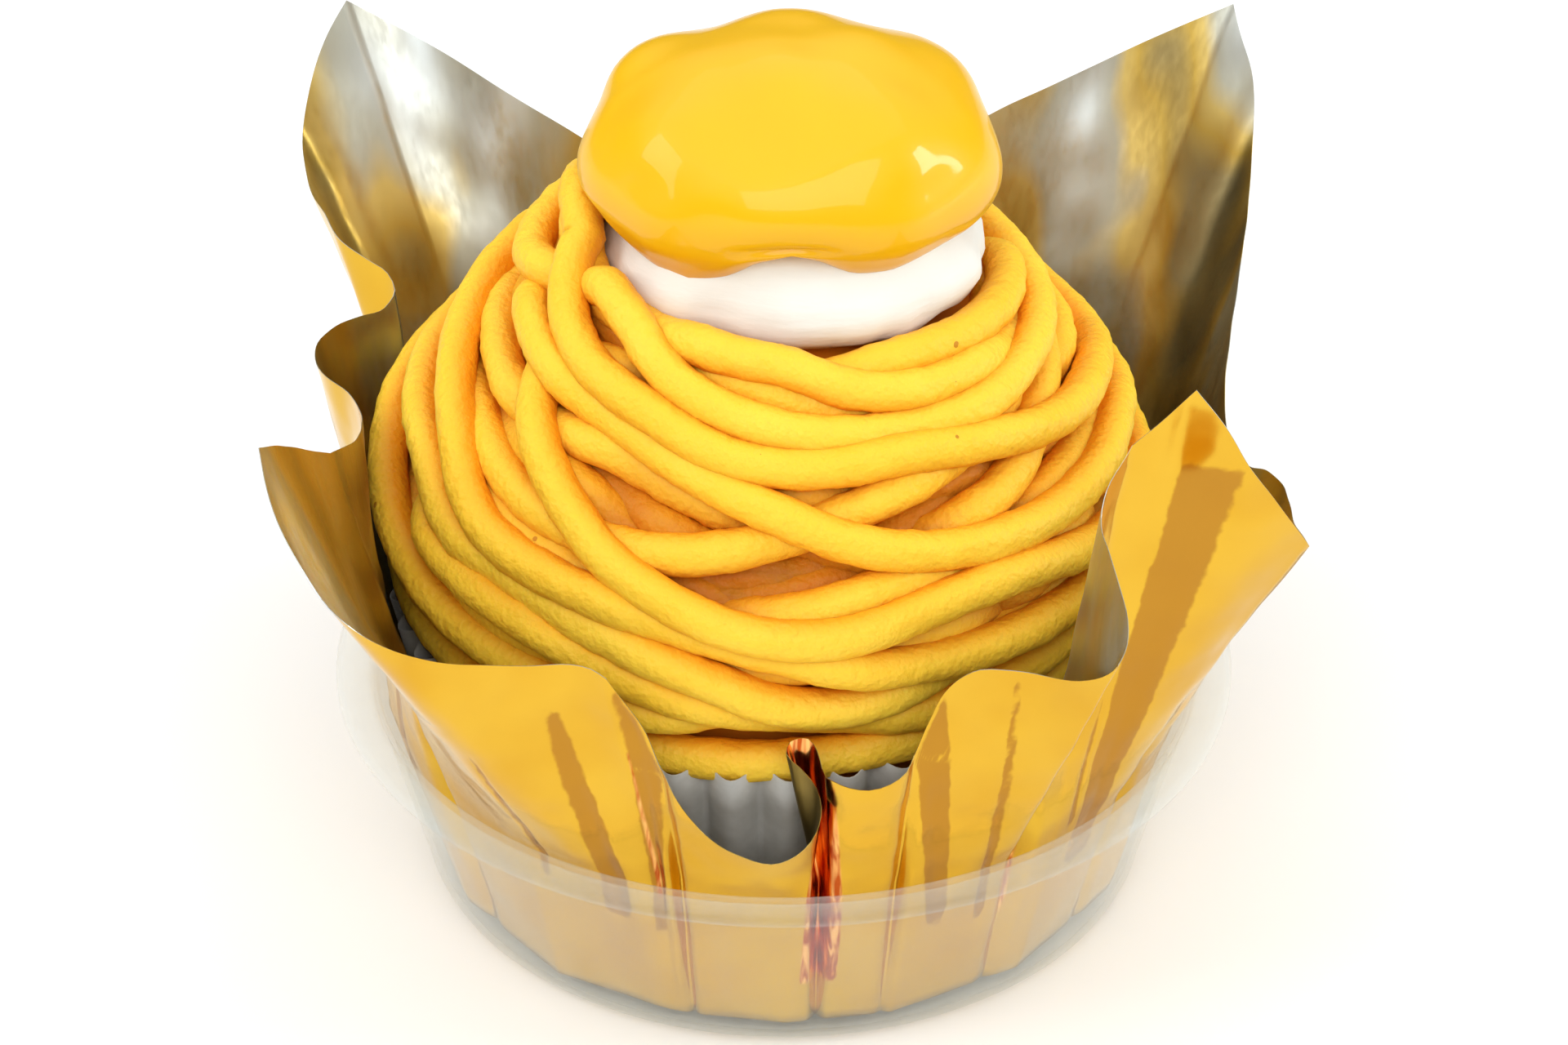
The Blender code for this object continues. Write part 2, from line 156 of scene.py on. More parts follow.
def ring_faces(steps, rings, top=True):
    """Faces over rings of points and the pole before them, and the pole after them if there is one."""
    last = steps * rings + 1
    faces = []
    for step in range(steps):
        after = (step + 1) % steps
        faces.append((0, 1 + after, 1 + step))
        if top:
            faces.append((last, last - steps + step, last - steps + after))
        for ring in range(rings - 1):
            low = 1 + ring * steps
            faces.append((low + step, low + after, low + steps + after, low + steps + step))
    return faces


def turned(rings, steps, middle_x=0.0):
    """Points and faces of a closed turned form. The rings go from the bottom pole to the last pole."""
    points = [(middle_x, 0, rings[0][1])]
    for radius, height in rings[1:-1]:
        for step in range(steps):
            turn = 2 * math.pi * step / steps
            points.append((middle_x + radius * math.cos(turn), radius * math.sin(turn), height))
    points.append((middle_x, 0, rings[-1][1]))
    return points, ring_faces(steps, len(rings) - 2)


def ride_and_replace(piece, node):
    """The piece belongs to the cake and stands for one solid, which it hides."""
    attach(piece, "root")
    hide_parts(node)


# Clear polystyrene: thin and see-through, with a faint milky veil from the forming, fine upright
# draw lines and sharp reflections, which are strongest where the wall turns away.
clear_polystyrene, tree, shader = start_material(
    "clear_polystyrene", Base_Color=linear("FBFBF8"), Roughness=0.07, IOR=1.55
)
draw_lines = noise(tree, place_in(tree, (260, 260, 22)), detail=3.0)
draw_relief = relief(tree, draw_lines, 0.25, 0.0002)
veil = spread(tree, draw_lines, 0.35, 0.75, 0.01, 0.03)
edge_gloss = add_node(tree, "ShaderNodeLayerWeight", {}, {"Blend": 0.075}, {"Normal": draw_relief})
solid_share = reckon(tree, "ADD", veil, edge_gloss.outputs["Facing"], use_clamp=True)
see_through = add_node(tree, "ShaderNodeBsdfTransparent", values={"Color": linear("FBFCFB")})
wall = add_node(
    tree,
    "ShaderNodeMixShader",
    links={0: solid_share, 1: see_through.outputs["BSDF"], 2: shader.outputs["BSDF"]},
)
feed(tree, shader, Normal=draw_relief)
tree.links.new(wall.outputs["Shader"], tree.nodes["Material Output"].inputs["Surface"])

cup_rings = [(0, 0.0), *CUP_OUTSIDE, *CUP_EDGE, *CUP_INSIDE, (0, 0.5)]
cup = new_piece("clear_cup_shell", *turned(cup_rings, CUP_STEPS), clear_polystyrene)
ride_and_replace(cup, "clear_cup")


# Foil
# A square of aluminium foil, lacquered gold outside and bare inside, that is pressed into the cup.
# It turns up at the heel, lies against the wall and stands above the mouth as four loose corners,
# and folds take up the slack between them.
CAKE_X = -1.9
# The outer form of the heap of cream, and the room that the foil leaves round it.
HEAP_HEIGHTS = (27.5, 30.0, 34.0, 38.0, 42.0, 46.0, 50.0, 54.0, 58.0, 61.5, 64.0)
HEAP_RADII = (31.6, 32.2, 33.0, 33.6, 32.8, 30.5, 27.7, 24.3, 20.8, 17.4, 14.0)
HEAP_ROOM = 0.9
MOUTH_RADIUS = 34.9
MOUTH_HEIGHT = 17.9
# Each row is a point of the sheet's edge and the azimuth of the wall's foot under it. The edge is
# rounded but at the sharp ones.
FOIL_EDGE = (
    (-39.1, -38, 62.6, -135, "sharp"), (-38, -41.2, 59.1, -131), (-35.6, -44, 55.4, -128),
    (-33.4, -45, 52.4, -125), (-30.1, -43.5, 48.5, -121), (-27.9, -41.5, 46.1, -118),
    (-25.1, -39.5, 44.1, -116), (-22.5, -38, 43, -114), (-19.5, -37, 42.2, -112),
    (-16.4, -36.5, 42, -110), (-14.9, -37, 41.9, -108.5), (-13.7, -37.4, 41.3, -107.5, "sharp"),
    (-12.1, -36.6, 38.1, -106.5), (-10.8, -36.4, 35.3, -105.5), (-9.6, -36.2, 31.6, -104.5),
    (-8.1, -36.4, 28.1, -102), (-5.8, -36.7, 25.2, -98.5), (-3.2, -37.1, 23.8, -95),
    (-1, -37.2, 23.2, -92), (1, -37, 23.9, -89.5), (2.6, -36.4, 25.7, -87.5), (3, -35.7, 27.6, -86.6),
    (2.6, -34.9, 29, -86.1), (1.3, -34.2, 30.5, -85.7), (0.2, -33.8, 31.6, -85.4),
    (0.5, -33.4, 32.5, -85.1), (1.2, -33.4, 32.8, -84.9), (1.9, -33.4, 32.7, -84.7),
    (2.6, -33.9, 31.9, -84.4), (3, -34.9, 30.9, -84), (3.3, -36, 30.9, -83.4, "sharp"),
    (5.1, -37, 30.6, -81.4), (6.7, -36.9, 30.3, -79), (8.4, -36.5, 30.6, -77),
    (9.7, -35.7, 31.2, -75.5), (10.3, -35.1, 32.4, -74.5, "sharp"), (11.5, -35.2, 36, -73.3),
    (12.5, -35.9, 38.9, -72), (13.6, -36.3, 40.5, -70.5), (15.2, -36.5, 41.5, -68.5),
    (17, -36.5, 41.5, -66), (18.9, -36.9, 41.5, -64), (20.8, -37.6, 41.5, -62),
    (22.6, -38.9, 42.2, -60.5), (24.3, -40.2, 43.4, -59.5), (25.4, -41.3, 45.2, -58.6),
    (26, -41.8, 47.4, -57.8), (25.9, -41.6, 49.6, -57.2), (25.3, -40.2, 51.6, -56.6),
    (24.6, -37.4, 52.9, -56), (24.2, -34.6, 53.5, -55), (24.6, -32.8, 55.6, -53.6),
    (26.5, -31.1, 58.6, -51, "sharp"), (28.6, -31, 60.4, -49), (31.1, -31.8, 63.9, -46, "sharp"),
    (33.3, -32.4, 61.2, -43.8), (35.4, -32.4, 57.4, -42), (37.6, -31.4, 54, -40),
    (41.2, -27.5, 47.1, -34, "sharp"), (40.7, -22, 45.7, -28), (40.8, -15, 44.4, -21),
    (39.8, -9, 42.6, -14), (38.9, -5, 40.5, -8), (38.2, 0, 39, -1), (37.9, 5, 39.8, 7),
    (38.8, 12, 42.6, 17), (40.7, 22, 46.6, 28), (42.2, 33, 52, 37), (42.1, 35.8, 56.1, 40.5),
    (40.3, 38.8, 62.1, 45, "sharp"), (33.5, 41.5, 57.4, 50), (26, 43, 52.6, 57), (18.9, 43.4, 48.6, 64),
    (12, 41.5, 45, 71), (6, 38.6, 42, 79), (0, 37.5, 41, 90), (-7, 38.5, 41.5, 101),
    (-14, 40.6, 44.5, 110), (-19.6, 41.6, 47.9, 116), (-25.4, 42.6, 51.3, 121), (-30.9, 42, 55.6, 127),
    (-39.3, 39.2, 62.3, 135, "sharp"), (-41.4, 37.6, 59, 137), (-42.4, 36.3, 56.4, 139),
    (-43, 34.6, 54, 140.5), (-43.2, 33, 52, 142), (-42.9, 30, 50.7, 144.5), (-41.9, 26, 49.6, 147.5),
    (-40.6, 23, 49.4, 150.5, "sharp"), (-39.3, 21, 48.1, 153), (-36.6, 19, 46.9, 155.5),
    (-34.8, 18, 46.1, 157), (-34.1, 17, 45, 158.5), (-35, 15.5, 44.1, 160.5), (-36.9, 13.5, 44.4, 163),
    (-38.9, 11, 44.8, 166), (-40.1, 8, 44.9, 169.5), (-40, 5, 45, 173.5), (-38.7, 2, 45.1, 177.5),
    (-36.4, -1, 45.3, 182), (-34.9, -5, 46.1, 188), (-34.3, -10, 47.7, 196), (-34.4, -17, 50.4, 205),
    (-35.5, -25, 54.1, 214.5, "sharp"), (-37.2, -29, 57, 218), (-38.3, -33.5, 60, 221.5),
)
# Folds below the mouth: azimuth, half width in degrees and depth in millimetres.
FOIL_FOLDS = (
    (-107, 4, 0.9), (-104.5, 1.5, 1.6), (-85, 1.7, 2.6), (-74.5, 1.6, 1.2), (-56, 2.4, 1.4),
    (-34, 3, 1), (-8, 4, 0.9), (20, 4, 0.8), (72, 5, 1), (90, 3, 1.6), (108, 4, 1), (150.5, 3, 1.2),
    (159, 3, 1.8), (188, 4, 1.4), (214.5, 3, 1.2),
)
# Facets that handling pressed into the lacquer, on which a dark reflection is painted brown: azimuth,
# height and half width in degrees of the upper end and of the lower end, and depth in millimetres.
FOIL_FACETS = (
    (-112.0, 37.5, 0.4, -113.8, 13, 2.3, 0.4),
    (-107.3, 40.5, 0.1, -106.0, 31, 1.4, 0.2),
    (-106.0, 31, 1.4, -107.8, 12, 0.8, 0.2),
    (-71.8, 38.8, 0.1, -72.2, 32, 2.2, 0.3),
    (-72.2, 32, 2.2, -68.0, 12, 1.5, 0.3),
    (-64.6, 40.5, 0.3, -60.7, 11, 1.0, 0.3),
    (-43.9, 57, 1.8, -43.5, 13, 2.7, 0.15),
    (-47.6, 33, 0.2, -47.8, 18, 0.7, 0.2),
    (-122.5, 33, 0.3, -125.0, 15, 0.8, 0.3),
    (206.0, 46, 0.5, 201.0, 13, 2.2, 0.2),
    (64.0, 43, 1.0, 62.0, 13, 3.0, 0.2),
    (120.0, 42, 0.8, 123.0, 13, 2.8, 0.2),
)
# The front fold, where a copper-red reflection of the lacquer mirroring itself is painted: laid out
# in the same way.
FOIL_FOLD_REFLECTION = (
    (-85.2, 33.6, 1.4, -84.8, 30, 2.1, 0.0),
    (-84.8, 30, 2.1, -84.6, 16, 2.5, 0.0),
    (-84.6, 16, 2.5, -85.0, 7, 2.8, 0.0),
    (-107.3, 33, 0.05, -107.4, 16, 0.35, 0.0),
    (-56.0, 24, 0.2, -56.0, 10, 0.5, 0.0),
)
# The foil goes round the inside of the cup in near flat panels, which meet at these azimuths.
FOIL_PANELS = (-152, -128, -107, -90, -73, -50, -24, 4, 30, 58, 86, 112, 140, 166, 188)
EDGE_STEP = 0.75
# The levels of the sheet below the wall, from its middle to the cup's heel: radius and height.
FOIL_LOWER = ((0, 1.0), (10, 1.0), (20, 1.0), (28.6, 1.0), (30.1, 1.2), (30.9, 1.9), (31.25, 3.0))
# This many levels lie flat and don't crumple.
FLAT_LEVELS = 4
# The levels of the wall, as shares of its height, and how many more stand free above the mouth.
WALL_SHARES = (0.14, 0.3, 0.46, 0.62, 0.76, 0.88, 1.0)
FREE_LEVELS = 26
# The most that a panel lies inside the round wall, as a share of the radius, and how much of that is
# gone at the mouth.
MOST_SAG = 0.03
MOUTH_ROUNDING = 0.8
# Under the cake the panels and the folds run out inside these radii.
PANEL_START = 28
FOLD_START = 30
# How much of a fold's depth shows on the bottom and at the heel.
BOTTOM_FOLD = 0.3
HEEL_FOLD = 0.35
# A facet's edge is followed this far, in degrees, and its dent fades out over this height.
FACET_FAR = -2.0
FACET_FADE = 3
# The sheet bulges for the heap above the first height, and its bulge grows from the second one.
HEAP_FOOT = 26.5
BULGE_FOOT = 19
BULGE_RISE = 8
BULGE_PASSES = 80
# Crumpling: how fast it varies and how deep it is, first soft and then fine. The fine one keeps to
# the heights between the outer two, and is full between the inner two.
SOFT_CRUMPLE = (0.22, 0.25)
FINE_CRUMPLE = (0.5, 0.1)
FINE_HEIGHTS = (14, 20, 26, 40)
FOIL_GAUGE = 0.06


def smooth_between(t, start, lead, end, trail):
    """A share of the way from a start to an end, with the slopes that it has there."""
    return (
        (2 * t**3 - 3 * t**2 + 1) * start
        + (t**3 - 2 * t**2 + t) * lead
        + (3 * t**2 - 2 * t**3) * end
        + (t**3 - t**2) * trail
    )


def rounded_line(rows, step):
    """A closed line through rows of four numbers, rounded but at the sharp ones."""
    values = np.array([row[:4] for row in rows], float)
    sharp = [row[-1] == "sharp" for row in rows]
    count = len(values)
    turn_on = np.array((0, 0, 0, 360))
    line = []
    for i in range(count):
        start = values[i]
        end = values[(i + 1) % count] + (turn_on if i + 1 == count else 0)
        before = values[i - 1] - (turn_on if i == 0 else 0)
        after = values[(i + 2) % count] + (turn_on if i + 2 >= count else 0)
        span = np.linalg.norm((end - start)[:3])
        span_before = np.linalg.norm((start - before)[:3])
        span_after = np.linalg.norm((after - end)[:3])
        slope = (end - start) / span
        slope_before = (start - before) / span_before
        slope_after = (after - end) / span_after
        lead = (slope_before * span + slope * span_before) / (span + span_before)
        trail = (slope * span_after + slope_after * span) / (span + span_after)
        lead = slope if sharp[i] else lead
        trail = slope if sharp[(i + 1) % count] else trail
        pieces = max(2, round(span / step))
        for k in range(pieces):
            line.append(smooth_between(k / pieces, start, lead * span, end, trail * span))
    return np.array(line)


def turn_between(azimuth, middle):
    """The turn from one azimuth to another, from -180 to 180 degrees."""
    return (azimuth - middle + 180) % 360 - 180


def fold_depth(azimuth):
    """How far the folds draw the wall inwards at an azimuth, in millimetres."""
    depth = 0.0
    for middle, half_width, deep in FOIL_FOLDS:
        share = min(abs(turn_between(azimuth, middle)) / half_width, 1)
        depth += deep * (1 - share) ** 1.5
    return depth


def panel_sag(azimuth):
    """How far a flat panel lies inside the round wall at an azimuth, as a share of the radius."""
    low = max(FOIL_PANELS, key=lambda corner: -((azimuth - corner) % 360))
    high = min(FOIL_PANELS, key=lambda corner: (corner - azimuth) % 360)
    half = math.radians((high - low) % 360) / 2
    middle = low + math.degrees(half)
    sag = 1 - math.cos(half) / math.cos(math.radians(turn_between(azimuth, middle)))
    return min(sag, MOST_SAG)


def facets_at(table, azimuth, height):
    """How far inside its nearest facet a place lies, in degrees, and how deep the facets are there."""
    inside = FACET_FAR
    depth = 0.0
    for high_turn, high, high_half, low_turn, low, low_half, deep in table:
        share = min(max((height - low) / (high - low), 0), 1)
        half = low_half + (high_half - low_half) * share
        aside = abs(turn_between(azimuth, low_turn + (high_turn - low_turn) * share))
        ends = min(high - height, height - low)
        inside = max(inside, min(half - aside, ends / 2))
        depth += deep * max(1 - aside / half, 0) * min(max(ends / FACET_FADE, 0), 1)
    return inside, depth


def foil_column(edge, foot):
    """The points of the sheet from its middle to one point of its edge."""
    turn = math.radians(foot)
    outward = np.array((math.cos(turn), math.sin(turn)))
    sag = panel_sag(foot)
    depth = fold_depth(foot)
    heel_radius, heel_height = FOIL_LOWER[-1]
    column = []
    for radius, height in FOIL_LOWER:
        reach = radius * (1 - sag * min(radius / PANEL_START, 1))
        reach -= BOTTOM_FOLD * depth * min(radius / FOLD_START, 1) ** 6
        column.append(np.array((*(outward * reach), height)))
    for share in WALL_SHARES:
        height = heel_height + (MOUTH_HEIGHT - heel_height) * share
        radius = heel_radius + (MOUTH_RADIUS - heel_radius) * share
        fold = depth * (HEEL_FOLD + (1 - HEEL_FOLD) * share)
        reach = radius * (1 - sag * (1 - share * MOUTH_ROUNDING)) - fold
        column.append(np.array((*(outward * reach), height)))
    mouth = column[-1]
    for level in range(1, FREE_LEVELS + 1):
        column.append(mouth + (edge - mouth) * level / FREE_LEVELS)
    return column


def make_room(columns):
    """Pushes the sheet outwards where the heap needs room, in a bulge that runs out smoothly."""
    from_heap = columns[:, :, :2] - (CAKE_X, 0)
    reaches = np.linalg.norm(from_heap, axis=2)
    heights = columns[:, :, 2]
    needed = np.interp(heights, HEAP_HEIGHTS, HEAP_RADII) + HEAP_ROOM - reaches
    needed = np.where(heights > HEAP_FOOT, np.maximum(needed, 0), 0)
    bulge = needed
    for _ in range(BULGE_PASSES):
        beside = (np.roll(bulge, 1, 0) + np.roll(bulge, -1, 0)) / 2
        above = np.concatenate([bulge[:, 1:], bulge[:, -1:]], 1)
        below = np.concatenate([bulge[:, :1], bulge[:, :-1]], 1)
        bulge = np.maximum(needed, (bulge + beside + (above + below) / 2) / 3)
    bulge *= np.clip((heights - BULGE_FOOT) / BULGE_RISE, 0, 1)
    columns[:, :, :2] += from_heap * (bulge / reaches)[:, :, None]


def crumpled(point, dent):
    """A point of the sheet, moved by the crumpling and pushed in by a dent."""
    soft, soft_depth = SOFT_CRUMPLE
    fine, fine_depth = FINE_CRUMPLE
    share = np.interp(point[2], FINE_HEIGHTS, (0, 1, 1, 0))
    crumple = rough.noise(Vector(point) * soft) * soft_depth
    crumple += rough.noise(Vector(point) * fine) * fine_depth * share
    around = np.array((point[0], point[1], 0))
    return point + around / np.linalg.norm(around) * (crumple - dent)


foil_line = rounded_line(FOIL_EDGE, EDGE_STEP)
foil_columns = np.array([foil_column(row[:3], row[3]) for row in foil_line])
make_room(foil_columns)
foil_points = [(0, 0, FOIL_LOWER[0][1])]
# The marks say where the gold's colour carries a painted reflection: brown on the facets and copper red on
# the front fold.
foil_marks = {"facet": [0.0], "fold": [0.0]}
for row, column in zip(foil_line, foil_columns):
    for level, point in enumerate(column[1:], 1):
        facet, dent = facets_at(FOIL_FACETS, row[3], point[2])
        foil_marks["facet"].append(facet)
        foil_marks["fold"].append(facets_at(FOIL_FOLD_REFLECTION, row[3], point[2])[0])
        foil_points.append(point if level < FLAT_LEVELS else crumpled(point, dent))
foil_count, foil_levels, _ = foil_columns.shape
foil_faces = []
for number in range(foil_count):
    here = 1 + number * (foil_levels - 1)
    there = 1 + (number + 1) % foil_count * (foil_levels - 1)
    foil_faces.append((0, there, here))
    for level in range(foil_levels - 2):
        foil_faces.append((here + level, there + level, there + level + 1, here + level + 1))


def mark_in(tree, name):
    """The value that the mesh carries under a name."""
    return add_node(tree, "ShaderNodeAttribute", {"attribute_name": name}).outputs["Fac"]


# Gold-lacquered aluminium: rolled bright, so it mirrors the room softly. On the facets that handling
# pressed into it a dark reflection is painted brown, and on the front fold, which mirrors itself, a
# reflection is painted copper red.
gold_foil, tree, shader = start_material("gold_lacquered_aluminium", Metallic=1.0, Roughness=0.16)
place = place_in(tree)
dents = noise(tree, place, 110.0, Roughness=0.45)
lacquer = blend(tree, dents, "D29C28", "E6BC42")
# Painted brown reflection on the facets, with an edge made ragged by fine noise.
ragged_edge_noise = noise(tree, place, 700.0, 3.0)
facet_reflection_edge = reckon(tree, "MULTIPLY_ADD", ragged_edge_noise, 0.7, mark_in(tree, "facet"))
facet_reflection_share = spread(tree, facet_reflection_edge, 0.25, 0.6, 0.0, 0.9, interpolation_type="SMOOTHSTEP")
facet_painted_reflection = blend(tree, facet_reflection_share, lacquer, "B47E2C")
# Painted copper-red reflection on the front fold, in fine upright stripes.
stripes = noise(tree, place_in(tree, (2200, 2200, 60)), detail=1.0)
painted_fold_reflection = blend(tree, spread(tree, stripes, 0.4, 0.66), "C0561F", "FFC070")
fold_reflection_share = spread(tree, mark_in(tree, "fold"), -0.15, 0.2, interpolation_type="SMOOTHSTEP")
foil_colour = blend(tree, fold_reflection_share, facet_painted_reflection, painted_fold_reflection)
feed(tree, shader, Base_Color=foil_colour, Normal=relief(tree, dents, 0.5, 0.001))

# Bare aluminium: the matt side of the rolling, with a fine grain along the roll. Its colour is a
# painted reflection: the room's light and the gold of the other petals are painted on it in long soft
# bands.
PAINTED_REFLECTION_BANDS = (
    (0.34, "7A6E4C"),
    (0.41, "A08640"),
    (0.47, "B29C5C"),
    (0.53, "A2A192"),
    (0.6, "AFB2AC"),
    (0.66, "CDD5D6"),
)
bare_foil, tree, shader = start_material("bare_rolled_aluminium", Metallic=1.0)
grain = noise(tree, place_in(tree, (1500, 1500, 60), (0, 0, 0.8)), detail=3.0)
grain_relief = relief(tree, grain, 0.02, 0.00003)
waves = noise(tree, place_in(tree), 70.0, 1.0)
# The painted reflection runs in soft bands from dark olive brown to pale grey.
reflection_band_pattern = noise(tree, place_in(tree, (70, 70, 14), (0.35, 0.25, 0)))
painted_reflection_colour = add_node(tree, "ShaderNodeValToRGB", links={"Fac": reflection_band_pattern})
bands = painted_reflection_colour.color_ramp.elements
for number, (position, code) in enumerate(PAINTED_REFLECTION_BANDS):
    band = bands[number] if number < 2 else bands.new(position)
    band.position = position
    band.color = linear(code)
feed(
    tree,
    shader,
    Base_Color=painted_reflection_colour.outputs["Color"],
    Roughness=spread(tree, grain, 0.3, 0.7, 0.36, 0.46),
    Normal=relief(tree, waves, 0.35, 0.001, Normal=grain_relief),
)

foil = new_piece("foil_sheet", foil_points, foil_faces, gold_foil, bare_foil, bare_foil)
for name, values in foil_marks.items():
    mark = foil.data.attributes.new(name, "FLOAT", "POINT")
    mark.data.foreach_set("value", np.array(values, np.float32))
gauge = foil.modifiers.new("gauge", "SOLIDIFY")
gauge.thickness = FOIL_GAUGE * MM
gauge.offset = -1.0
gauge.material_offset = 1
gauge.material_offset_rim = 2


def made_plain(piece, name):
    """Gives the piece the mesh that its modifiers make, and clears them."""
    graph = bpy.context.evaluated_depsgraph_get()
    shown = piece.evaluated_get(graph)
    mesh = bpy.data.meshes.new_from_object(shown, preserve_all_data_layers=True, depsgraph=graph)
    piece.modifiers.clear()
    piece.data = mesh
    mesh.name = name
    return mesh


foil_mesh = made_plain(foil, "foil_sheet")
# The cut edge is square, so its faces stay flat.
for face in foil_mesh.polygons:
    face.use_smooth = face.material_index != 2
foil_mesh.normals_split_custom_set([tuple(corner.vector) for corner in foil_mesh.corner_normals])
ride_and_replace(foil, "foil_wrapper")


# Paper case
# A fluted case of glassine under the cake. The flutes are round outside and sharp inside, as they
# come off the die, and they open towards the rim.
CASE_FOOT = 26.6
CASE_RIM = 31.3
CASE_FLOOR = 1.7
CASE_TOP = 28.0
CASE_WAVE = 0.25
CASE_GAUGE = 0.12
CASE_FLUTES = 42
CASE_FLUTE_STEPS = 12
# A flute's back and valley lie this far apart, and its top edge dips on the back.
FLUTE_DEPTH = 2.1
FLUTE_MIDDLE = 0.6
SCALLOP_DEPTH = 0.9
SCALLOP_MIDDLE = 0.4
CASE_LEVELS = (0, 0.04, 0.12, 0.25, 0.4, 0.55, 0.7, 0.85, 1.0)

case_steps = CASE_FLUTES * CASE_FLUTE_STEPS
case_points = [(CAKE_X, 0, CASE_FLOOR)]
for share in CASE_LEVELS:
    for step in range(case_steps):
        turn = 2 * math.pi * step / case_steps
        ridge = abs(math.cos(CASE_FLUTES * turn / 2))
        wave = CASE_WAVE * math.sin(3 * turn + 1)
        height = CASE_FLOOR + (CASE_TOP - CASE_FLOOR + wave) * share
        height -= SCALLOP_DEPTH * (ridge - SCALLOP_MIDDLE) * share**6
        radius = CASE_FOOT + (CASE_RIM - CASE_FOOT) * share
        radius += FLUTE_DEPTH * (ridge - FLUTE_MIDDLE) * share**0.7
        case_points.append((CAKE_X + radius * math.cos(turn), radius * math.sin(turn), height))

# Glassine: a glazed greaseproof paper, greyish and half see-through, with faint cloudy fibres.
glassine, tree, shader = start_material("glassine", Roughness=0.42, Transmission_Weight=0.35, IOR=1.4)
fibres = noise(tree, place_in(tree), 900.0, 4.0)
feed(tree, shader, Base_Color=blend(tree, fibres, "C9C7BE", "E9E8E2"))

case_faces = ring_faces(case_steps, len(CASE_LEVELS), top=False)
case = new_piece("paper_case_flutes", case_points, case_faces, glassine)
sheet = case.modifiers.new("sheet", "SOLIDIFY")
sheet.thickness = CASE_GAUGE * MM
sheet.offset = 0.0
ride_and_replace(case, "paper_case")


# Chestnut cream
# Sweet chestnut paste, piped through a plain round nozzle in turn after turn over a core of the
# same cream. Each strand lies on the ones before it and sinks a little where they cross.
STRAND_RADIUS = 1.62
# Strands that cross lie this share of their thickness apart, and none lies deeper than the next value.
PRESSED = 0.75
DEEPEST = 5.0
STRAND_POINTS = 280
